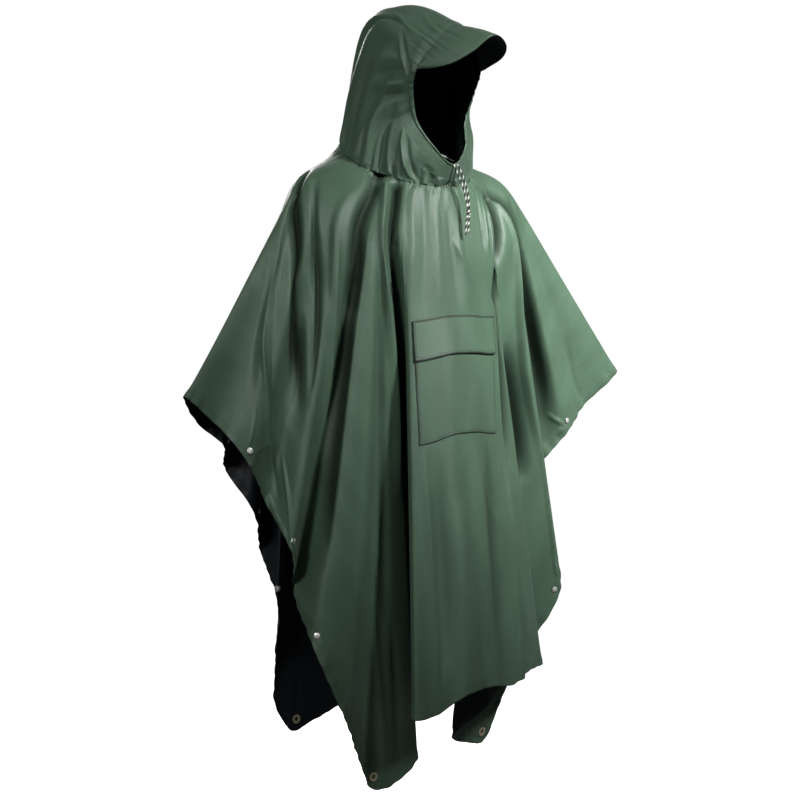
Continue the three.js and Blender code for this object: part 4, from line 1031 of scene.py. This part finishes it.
def rope_tube(name, route, radius, strands=3, twist_length=13.0):
    """A tube whose section is a ring of strands that turns along the route: radius x (0.84 + 0.16
    x |cos|) round the section, with the turn growing by one whole turn each twist length."""
    count = max(12, int(np.linalg.norm(np.diff(route, axis=0), axis=-1).sum() / ROPE_STEP))
    path = smooth_route(route, count)
    ahead = np.gradient(path, axis=0)
    ahead /= np.linalg.norm(ahead, axis=-1, keepdims=True)
    side = np.cross(ahead, np.array([0.0, 1.0, 0.0]))
    side /= np.linalg.norm(side, axis=-1, keepdims=True)
    other = np.cross(ahead, side)
    run = np.concatenate([[0.0], np.cumsum(np.linalg.norm(np.diff(path, axis=0), axis=-1))])
    angle = np.arange(ROPE_SIDES) / ROPE_SIDES * 2 * np.pi
    turn = run[:, None] / twist_length * 2 * np.pi
    reach = radius * (0.84 + 0.16 * np.abs(np.cos(strands / 2 * (angle[None, :] - turn))))
    ring = path[:, None, :] + reach[..., None] * (
        np.cos(angle)[None, :, None] * side[:, None, :]
        + np.sin(angle)[None, :, None] * other[:, None, :])
    ends = np.stack([np.broadcast_to(path[end], (ROPE_SIDES, 3)) for end in (0, -1)])
    points = np.concatenate([ends[:1], ring, ends[1:]])
    twist = np.concatenate([turn[:1], turn, turn[-1:]])
    phase = (angle[None, :] - twist) / (2 * np.pi)
    piece = make_piece(name, points, grid_faces(len(points), ROPE_SIDES, True)[:, ::-1],
                       values={"strand": np.sin(2 * np.pi * phase)})
    return piece, path


cords = {name: rope_tube(name + "_rope", route, CORD_RADIUS)
         for name, route in CORD_ROUTES.items()}
print("Cords:", {name: len(path) for name, (piece, path) in cords.items()})

# %% [markdown]
# ## The knot
# The knot is a tight lump of the same twisted cord: a rounded body with the strands' turns wrapped
# round it.


# %% The knot
def knot_piece():
    """A rounded lump, radius x (1 + a ridge that winds round it four times), as a grid of
    latitude and longitude."""
    tall, wide = 34, 40
    latitude, longitude = np.meshgrid(np.linspace(1e-3, np.pi - 1e-3, tall),
                                      np.arange(wide) / wide * 2 * np.pi, indexing="ij")
    winding = np.cos(longitude * 2 + latitude * 5.0)
    ridge = 1 + 0.10 * np.abs(winding) - 0.10
    points = np.stack([
        KNOT_HALF_WIDTH * ridge * np.sin(latitude) * np.cos(longitude),
        KNOT_HALF_WIDTH * ridge * np.sin(latitude) * np.sin(longitude),
        KNOT_HALF_HEIGHT * ridge * np.cos(latitude)], -1) + np.array(CORD_KNOT)
    return make_piece("drawcord_knot_rope", points, grid_faces(tall, wide, True),
                      values={"strand": np.sin(longitude * 2 + latitude * 5.0)})


knot = knot_piece()
print("Knot box:", [tuple(corner) for corner in knot.bound_box][::6])

# %% [markdown]
# ## Shared effects
# The ripstop squares are one node group: it reads the flat place of a point and gives the height
# of the thicker threads. The fine crumple of thin coated cloth is another.


# %% Node helpers
def new_group(name, inputs, outputs):
    """A shader node group with named sockets and its input and output nodes."""
    group = bpy.data.node_groups.new(name, "ShaderNodeTree")
    for socket, kind, value in inputs:
        made = group.interface.new_socket(socket, in_out="INPUT", socket_type=kind)
        if value is not None:
            made.default_value = value
    for socket, kind in outputs:
        group.interface.new_socket(socket, in_out="OUTPUT", socket_type=kind)
    return group, group.nodes.new("NodeGroupInput"), group.nodes.new("NodeGroupOutput")


def math_node(tree, operation, first, second=None):
    """A Math node on two values or sockets; gives its output socket."""
    node = tree.nodes.new("ShaderNodeMath")
    node.operation = operation
    for socket, value in zip(node.inputs, (first, second)):
        if value is None:
            continue
        if isinstance(value, (int, float)):
            socket.default_value = value
        else:
            tree.links.new(value, socket)
    return node.outputs[0]


def map_range(tree, value, from_low, from_high, to_low, to_high):
    """A smooth Map Range node; gives its result socket."""
    node = tree.nodes.new("ShaderNodeMapRange")
    node.interpolation_type = "SMOOTHSTEP"
    tree.links.new(value, node.inputs["Value"])
    for socket, number in (("From Min", from_low), ("From Max", from_high), ("To Min", to_low),
                           ("To Max", to_high)):
        node.inputs[socket].default_value = number
    return node.outputs["Result"]


def noise(tree, vector, scale, detail=2.0, roughness=0.5):
    """A Noise texture on a vector; gives its value socket."""
    node = tree.nodes.new("ShaderNodeTexNoise")
    node.inputs["Scale"].default_value = scale
    node.inputs["Detail"].default_value = detail
    node.inputs["Roughness"].default_value = roughness
    tree.links.new(vector, node.inputs["Vector"])
    return node.outputs["Fac"]


def stretched(tree, vector, scale):
    """A Mapping node that scales a vector; gives its output socket."""
    node = tree.nodes.new("ShaderNodeMapping")
    node.inputs["Scale"].default_value = scale
    tree.links.new(vector, node.inputs["Vector"])
    return node.outputs["Vector"]


print("Node helpers ready")


# %% The ripstop and crumple groups
def ripstop_group():
    """Thick threads: for each direction, the distance of the flat place to the nearest line of a
    square grid, turned into a narrow smooth ridge."""
    group, given, result = new_group(
        "ripstop_threads",
        [("Flat", "NodeSocketVector", None), ("Square", "NodeSocketFloat", 0.005)],
        [("Height", "NodeSocketFloat")])
    split = group.nodes.new("ShaderNodeSeparateXYZ")
    group.links.new(given.outputs["Flat"], split.inputs[0])
    ridges = []
    for axis, strength in (("X", 0.6), ("Y", 1.0)):
        turns = math_node(group, "DIVIDE", split.outputs[axis], given.outputs["Square"])
        part = math_node(group, "FRACT", turns)
        away = math_node(group, "ABSOLUTE", math_node(group, "SUBTRACT", part, 0.5))
        ridge = map_range(group, away, 0.30, 0.5, 0.0, 1.0)
        ridges.append(math_node(group, "MULTIPLY", ridge, strength))
    total = math_node(group, "MAXIMUM", ridges[0], ridges[1])
    group.links.new(total, result.inputs["Height"])
    return group


def crumple_group():
    """Soft crumple: noise stretched along the fall of the cloth, at three sizes."""
    group, given, result = new_group(
        "cloth_crumple", [("Flat", "NodeSocketVector", None)],
        [("Height", "NodeSocketFloat"), ("Tone", "NodeSocketFloat")])
    large = noise(group, stretched(group, given.outputs["Flat"], (1.0, 0.35, 1.0)), 16.0, 3.0, 0.5)
    fine = noise(group, stretched(group, given.outputs["Flat"], (1.0, 0.6, 1.0)), 55.0, 3.0, 0.55)
    small = noise(group, given.outputs["Flat"], 170.0, 2.0, 0.5)
    total = math_node(group, "ADD", math_node(group, "MULTIPLY", large, 0.0030),
                      math_node(group, "MULTIPLY", fine, 0.0008))
    total = math_node(group, "ADD", total, math_node(group, "MULTIPLY", small, 0.0003))
    group.links.new(total, result.inputs["Height"])
    group.links.new(large, result.inputs["Tone"])
    return group


ripstop_threads = ripstop_group()
cloth_crumple = crumple_group()
print("Groups:", [group.name for group in bpy.data.node_groups])

# %% [markdown]
# ## The cloth material
# The outer face is coated, so it has a soft gloss. The inner face is near black: partly its own
# dark coating and partly painted shade, and the brim's underside takes the same colour. Along the
# cut edge the cloth gets a painted shade where it turns. Hem stitching runs as a row of small dents
# at a fixed distance from the cut edge, which a point attribute gives. Another attribute says how
# deep a point lies in a trough. The cloth is painted darker and duller there, because real troughs
# are narrower than this mesh can be and keep more light out. The cost is that the paint stays when
# the light moves, so it shows as dark patches from above.

# %% The cloth material
CLOTH_COLOUR = (0.050, 0.092, 0.057, 1.0)
CLOTH_LIGHT = (0.060, 0.109, 0.069, 1.0)
# Inside colour: near black, partly the inner coating's own colour and partly painted shade.
INSIDE_COAT_AND_SHADE = (0.006, 0.009, 0.012, 1.0)
CLOTH_ROUGHNESS, CLOTH_GLOSS, CLOTH_SHEEN = 0.5, 0.38, 0.05
INSIDE_ROUGHNESS, INSIDE_GLOSS = 0.55, 0.3
THREAD_RISE, STITCH_DENT, STITCH_HALF_WIDTH = 0.00012, 0.0004, 0.0012
STITCH_SHADE, THREAD_SHADE, TROUGH_SHADE = 0.35, 0.16, 0.75
# Painted shade along the cut edge: full up to the first of these distances, gone at the second.
PAINTED_EDGE_SHADE_FROM, PAINTED_EDGE_SHADE_TO = 0.0012, 0.0042


def cloth_material(name, stitch_at=0.0135, painted_edge_shade=0.25):
    """Principled outer face: the crumple's tone mixes two greens, x (1 - painted shade along the
    cut edge, where the cloth turns, and the darker tone of the stitches and the threads) x (1 -
    painted shade of the troughs), and turns to the inside's colour on the brim's dark underside.
    Bump from threads, crumple and stitches. The inner face is a darker Principled, chosen by
    Backfacing, and its colour is partly painted shade."""
    material = bpy.data.materials.new(name)
    material.use_nodes = True
    tree = material.node_tree
    tree.nodes.clear()
    output = tree.nodes.new("ShaderNodeOutputMaterial")
    flat = tree.nodes.new("ShaderNodeUVMap")
    flat.uv_map = "flat"
    threads = tree.nodes.new("ShaderNodeGroup")
    threads.node_tree = ripstop_threads
    tree.links.new(flat.outputs["UV"], threads.inputs["Flat"])
    crumple = tree.nodes.new("ShaderNodeGroup")
    crumple.node_tree = cloth_crumple
    tree.links.new(flat.outputs["UV"], crumple.inputs["Flat"])
    gap = tree.nodes.new("ShaderNodeAttribute")
    gap.attribute_name = "edge_gap"
    away = math_node(tree, "ABSOLUTE", math_node(tree, "SUBTRACT", gap.outputs["Fac"], stitch_at))
    row = map_range(tree, away, 0.0, STITCH_HALF_WIDTH, 1.0, 0.0)
    height = math_node(tree, "ADD", math_node(
        tree, "MULTIPLY", threads.outputs["Height"], THREAD_RISE), crumple.outputs["Height"])
    height = math_node(tree, "SUBTRACT", height, math_node(tree, "MULTIPLY", row, STITCH_DENT))
    bump = tree.nodes.new("ShaderNodeBump")
    bump.inputs["Strength"].default_value = 1.0
    bump.inputs["Distance"].default_value = 1.0
    tree.links.new(height, bump.inputs["Height"])
    colour = tree.nodes.new("ShaderNodeMix")
    colour.data_type = "RGBA"
    colour.inputs["A"].default_value = CLOTH_COLOUR
    colour.inputs["B"].default_value = CLOTH_LIGHT
    tree.links.new(map_range(tree, crumple.outputs["Tone"], 0.35, 0.65, 0.0, 1.0),
                   colour.inputs["Factor"])
    # Painted shade near the cut edge, where the cloth turns over.
    shade = math_node(tree, "SUBTRACT", 1.0, math_node(
        tree, "ADD", map_range(tree, gap.outputs["Fac"], PAINTED_EDGE_SHADE_FROM, PAINTED_EDGE_SHADE_TO,
                               painted_edge_shade, 0.0),
        math_node(tree, "MULTIPLY", row, STITCH_SHADE)))
    shaded = tree.nodes.new("ShaderNodeVectorMath")
    shaded.operation = "SCALE"
    tree.links.new(colour.outputs["Result"], shaded.inputs[0])
    shade = math_node(tree, "SUBTRACT", shade,
                      math_node(tree, "MULTIPLY", threads.outputs["Height"], THREAD_SHADE))
    trough = tree.nodes.new("ShaderNodeAttribute")
    trough.attribute_name = "trough"
    open_share = math_node(tree, "SUBTRACT", 1.0,
                           math_node(tree, "MULTIPLY", trough.outputs["Fac"], TROUGH_SHADE))
    shade = math_node(tree, "MULTIPLY", shade, open_share)
    tree.links.new(shade, shaded.inputs["Scale"])
    # The brim's underside turns to the inside's colour, which is partly painted shade.
    dark_underside = tree.nodes.new("ShaderNodeAttribute")
    dark_underside.attribute_name = "dark_underside"
    underside_mix = tree.nodes.new("ShaderNodeMix")
    underside_mix.data_type = "RGBA"
    underside_mix.inputs["B"].default_value = INSIDE_COAT_AND_SHADE
    tree.links.new(dark_underside.outputs["Fac"], underside_mix.inputs["Factor"])
    tree.links.new(shaded.outputs["Vector"], underside_mix.inputs["A"])
    outer = tree.nodes.new("ShaderNodeBsdfPrincipled")
    outer.inputs["Roughness"].default_value = CLOTH_ROUGHNESS
    tree.links.new(math_node(tree, "MULTIPLY", open_share, CLOTH_GLOSS),
                   outer.inputs["Specular IOR Level"])
    outer.inputs["Sheen Weight"].default_value = CLOTH_SHEEN
    tree.links.new(underside_mix.outputs["Result"], outer.inputs["Base Color"])
    tree.links.new(bump.outputs["Normal"], outer.inputs["Normal"])
    inner = tree.nodes.new("ShaderNodeBsdfPrincipled")
    inner.inputs["Base Color"].default_value = INSIDE_COAT_AND_SHADE
    inner.inputs["Roughness"].default_value = INSIDE_ROUGHNESS
    inner.inputs["Specular IOR Level"].default_value = INSIDE_GLOSS
    tree.links.new(bump.outputs["Normal"], inner.inputs["Normal"])
    facing = tree.nodes.new("ShaderNodeNewGeometry")
    choose = tree.nodes.new("ShaderNodeMixShader")
    tree.links.new(facing.outputs["Backfacing"], choose.inputs["Fac"])
    tree.links.new(outer.outputs["BSDF"], choose.inputs[1])
    tree.links.new(inner.outputs["BSDF"], choose.inputs[2])
    tree.links.new(choose.outputs["Shader"], output.inputs["Surface"])
    return material


cloth = cloth_material("coated_ripstop")
for piece in (front_cloth, back_cloth, hood_piece, brim_piece):
    piece.data.materials.append(cloth)
# The patch borders get a strong painted shade where they turn down to the sheet.
patch_cloth = cloth_material("coated_ripstop_patch", stitch_at=0.0045,
                             painted_edge_shade=0.75)
for piece in (pocket_piece, flap_piece):
    piece.data.materials.append(patch_cloth)
print("Cloth materials:", cloth.name, patch_cloth.name)

# %% [markdown]
# ## Cord and metal
# The cord is black with a pale strand. Eyelets are brass and snaps are steel, both a little
# tarnished, so they are not fully metallic and their tone wanders.


# %% The cord and metal materials
def cord_material():
    """Black cord with a pale strand where the strand attribute is high."""
    material = bpy.data.materials.new("twisted_cord")
    material.use_nodes = True
    tree = material.node_tree
    shader = tree.nodes["Principled BSDF"]
    strand = tree.nodes.new("ShaderNodeAttribute")
    strand.attribute_name = "strand"
    colour = tree.nodes.new("ShaderNodeMix")
    colour.data_type = "RGBA"
    colour.inputs["A"].default_value = (0.010, 0.011, 0.010, 1.0)
    colour.inputs["B"].default_value = (0.55, 0.56, 0.52, 1.0)
    tree.links.new(map_range(tree, strand.outputs["Fac"], 0.25, 0.45, 0.0, 1.0),
                   colour.inputs["Factor"])
    tree.links.new(colour.outputs["Result"], shader.inputs["Base Color"])
    shader.inputs["Roughness"].default_value = 0.75
    return material


def metal_material(name, dark, light, roughness):
    """Metal with a little tarnish: colour from noise on the object's own coordinates."""
    material = bpy.data.materials.new(name)
    material.use_nodes = True
    tree = material.node_tree
    shader = tree.nodes["Principled BSDF"]
    place = tree.nodes.new("ShaderNodeTexCoord")
    tone = noise(tree, place.outputs["Object"], 300.0, 3.0, 0.6)
    colour = tree.nodes.new("ShaderNodeMix")
    colour.data_type = "RGBA"
    colour.inputs["A"].default_value = dark
    colour.inputs["B"].default_value = light
    tree.links.new(tone, colour.inputs["Factor"])
    tree.links.new(colour.outputs["Result"], shader.inputs["Base Color"])
    shader.inputs["Metallic"].default_value = 0.75
    shader.inputs["Roughness"].default_value = roughness
    return material


cord_look = cord_material()
for piece, path in cords.values():
    piece.data.materials.append(cord_look)
knot.data.materials.append(cord_look)
brass = metal_material("eyelet_brass_look", (0.62, 0.52, 0.32, 1.0), (0.88, 0.78, 0.56, 1.0), 0.42)
steel = metal_material("snap_metal_look", (0.62, 0.63, 0.60, 1.0), (0.86, 0.87, 0.83, 1.0), 0.4)
metals = {"eyelet": brass, "snap": steel}
metal_nodes = [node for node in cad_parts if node.split("_")[0] in metals]
for node in metal_nodes:
    bpy.data.objects[node].material_slots[0].material = metals[node.split("_")[0]]
print("Metal on", len(metal_nodes), "nodes")

# %% [markdown]
# ## What each piece stands for
# Every piece rides on the one body and replaces its CAD solid, which is hidden.

for piece, node in ((front_cloth, "front_sheet"), (back_cloth, "back_sheet"),
                    (hood_piece, "hood"), (brim_piece, "hood_brim"), (pocket_piece, "pocket"),
                    (flap_piece, "pocket_flap"), (knot, "drawcord_knot")):
    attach(piece, "root")
    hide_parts(node)
for name, (piece, path) in cords.items():
    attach(piece, "root")
    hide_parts(name)

# %% [markdown]
# ## The studio
# A plain floor and surrounding that show as white but light the cloth very little. The key is a
# soft light with a grid on its front, aimed at the chest and the wearer's left arm, because the
# photo is bright there and dim down the wearer's right side. A wider fill opens that side, and a
# weak one behind keeps the back from going black.


# %% The floor and the lights
FLOOR_HEIGHT, FLOOR_HALF_SIZE = -1.46, 30.0
SURROUNDINGS_SEEN, SURROUNDINGS_FELT = 1.0, 0.07
# name, azimuth, elevation, distance, size (m), energy (W), aimed at, spread (degrees)
LIGHTS = [
    ("key", 6.0, 36.0, 2.6, 0.6, 9.2, (0.38, -0.15, -0.20), 31.0),
    ("fill", -60.0, 28.0, 3.5, 0.7, 13.0, (-0.2, 0.0, -0.3), 90.0),
    ("back", 165.0, 22.0, 3.5, 0.9, 6.0, (0.0, 0.1, -0.35), 60.0),
]


def add_area_light(name, azimuth, elevation, distance, size, energy, aim, spread):
    """A round soft light on a sphere round the point that it is aimed at. A spread below 180
    degrees is a grid on its front, which keeps the light near that point."""
    turn, rise = math.radians(azimuth), math.radians(elevation)
    direction = Vector((math.sin(turn) * math.cos(rise), -math.cos(turn) * math.cos(rise),
                        math.sin(rise)))
    data = bpy.data.lights.new(name, "AREA")
    data.shape = "DISK"
    data.size = size
    data.energy = energy
    data.spread = math.radians(spread)
    light = bpy.data.objects.new(name, data)
    bpy.context.scene.collection.objects.link(light)
    light.location = Vector(aim) + direction * distance
    light.rotation_euler = (-direction).to_track_quat("-Z", "Y").to_euler()


def add_floor(height, half_size):
    """A large pale square under the garment."""
    corners = np.array([[-1, -1, 0], [1, -1, 0], [1, 1, 0], [-1, 1, 0]], float) * half_size
    floor = make_piece("floor", (corners + np.array([0, 0, height])) / MM, np.array([[0, 1, 2, 3]]))
    material = bpy.data.materials.new("pale_floor")
    material.use_nodes = True
    shader = material.node_tree.nodes["Principled BSDF"]
    shader.inputs["Base Color"].default_value = (0.9, 0.9, 0.9, 1.0)
    shader.inputs["Roughness"].default_value = 0.9
    shader.inputs["Emission Color"].default_value = (1.0, 1.0, 1.0, 1.0)
    shader.inputs["Emission Strength"].default_value = 1.0
    floor.data.materials.append(material)
    floor.visible_diffuse = False
    floor.visible_glossy = False


def light_surroundings(seen, felt):
    """A world that is white to the eye and dim as a light."""
    world = bpy.data.worlds.new("studio")
    bpy.context.scene.world = world
    world.use_nodes = True
    tree = world.node_tree
    background = tree.nodes["Background"]
    background.inputs["Color"].default_value = (1.0, 1.0, 1.0, 1.0)
    path = tree.nodes.new("ShaderNodeLightPath")
    strength = math_node(tree, "ADD", math_node(
        tree, "MULTIPLY", path.outputs["Is Camera Ray"], seen - felt), felt)
    tree.links.new(strength, background.inputs["Strength"])


bpy.context.scene.view_settings.view_transform = "Standard"
add_floor(FLOOR_HEIGHT, FLOOR_HALF_SIZE)
for row in LIGHTS:
    add_area_light(*row)
light_surroundings(SURROUNDINGS_SEEN, SURROUNDINGS_FELT)
print("Lights:", [item.name for item in bpy.data.lights])
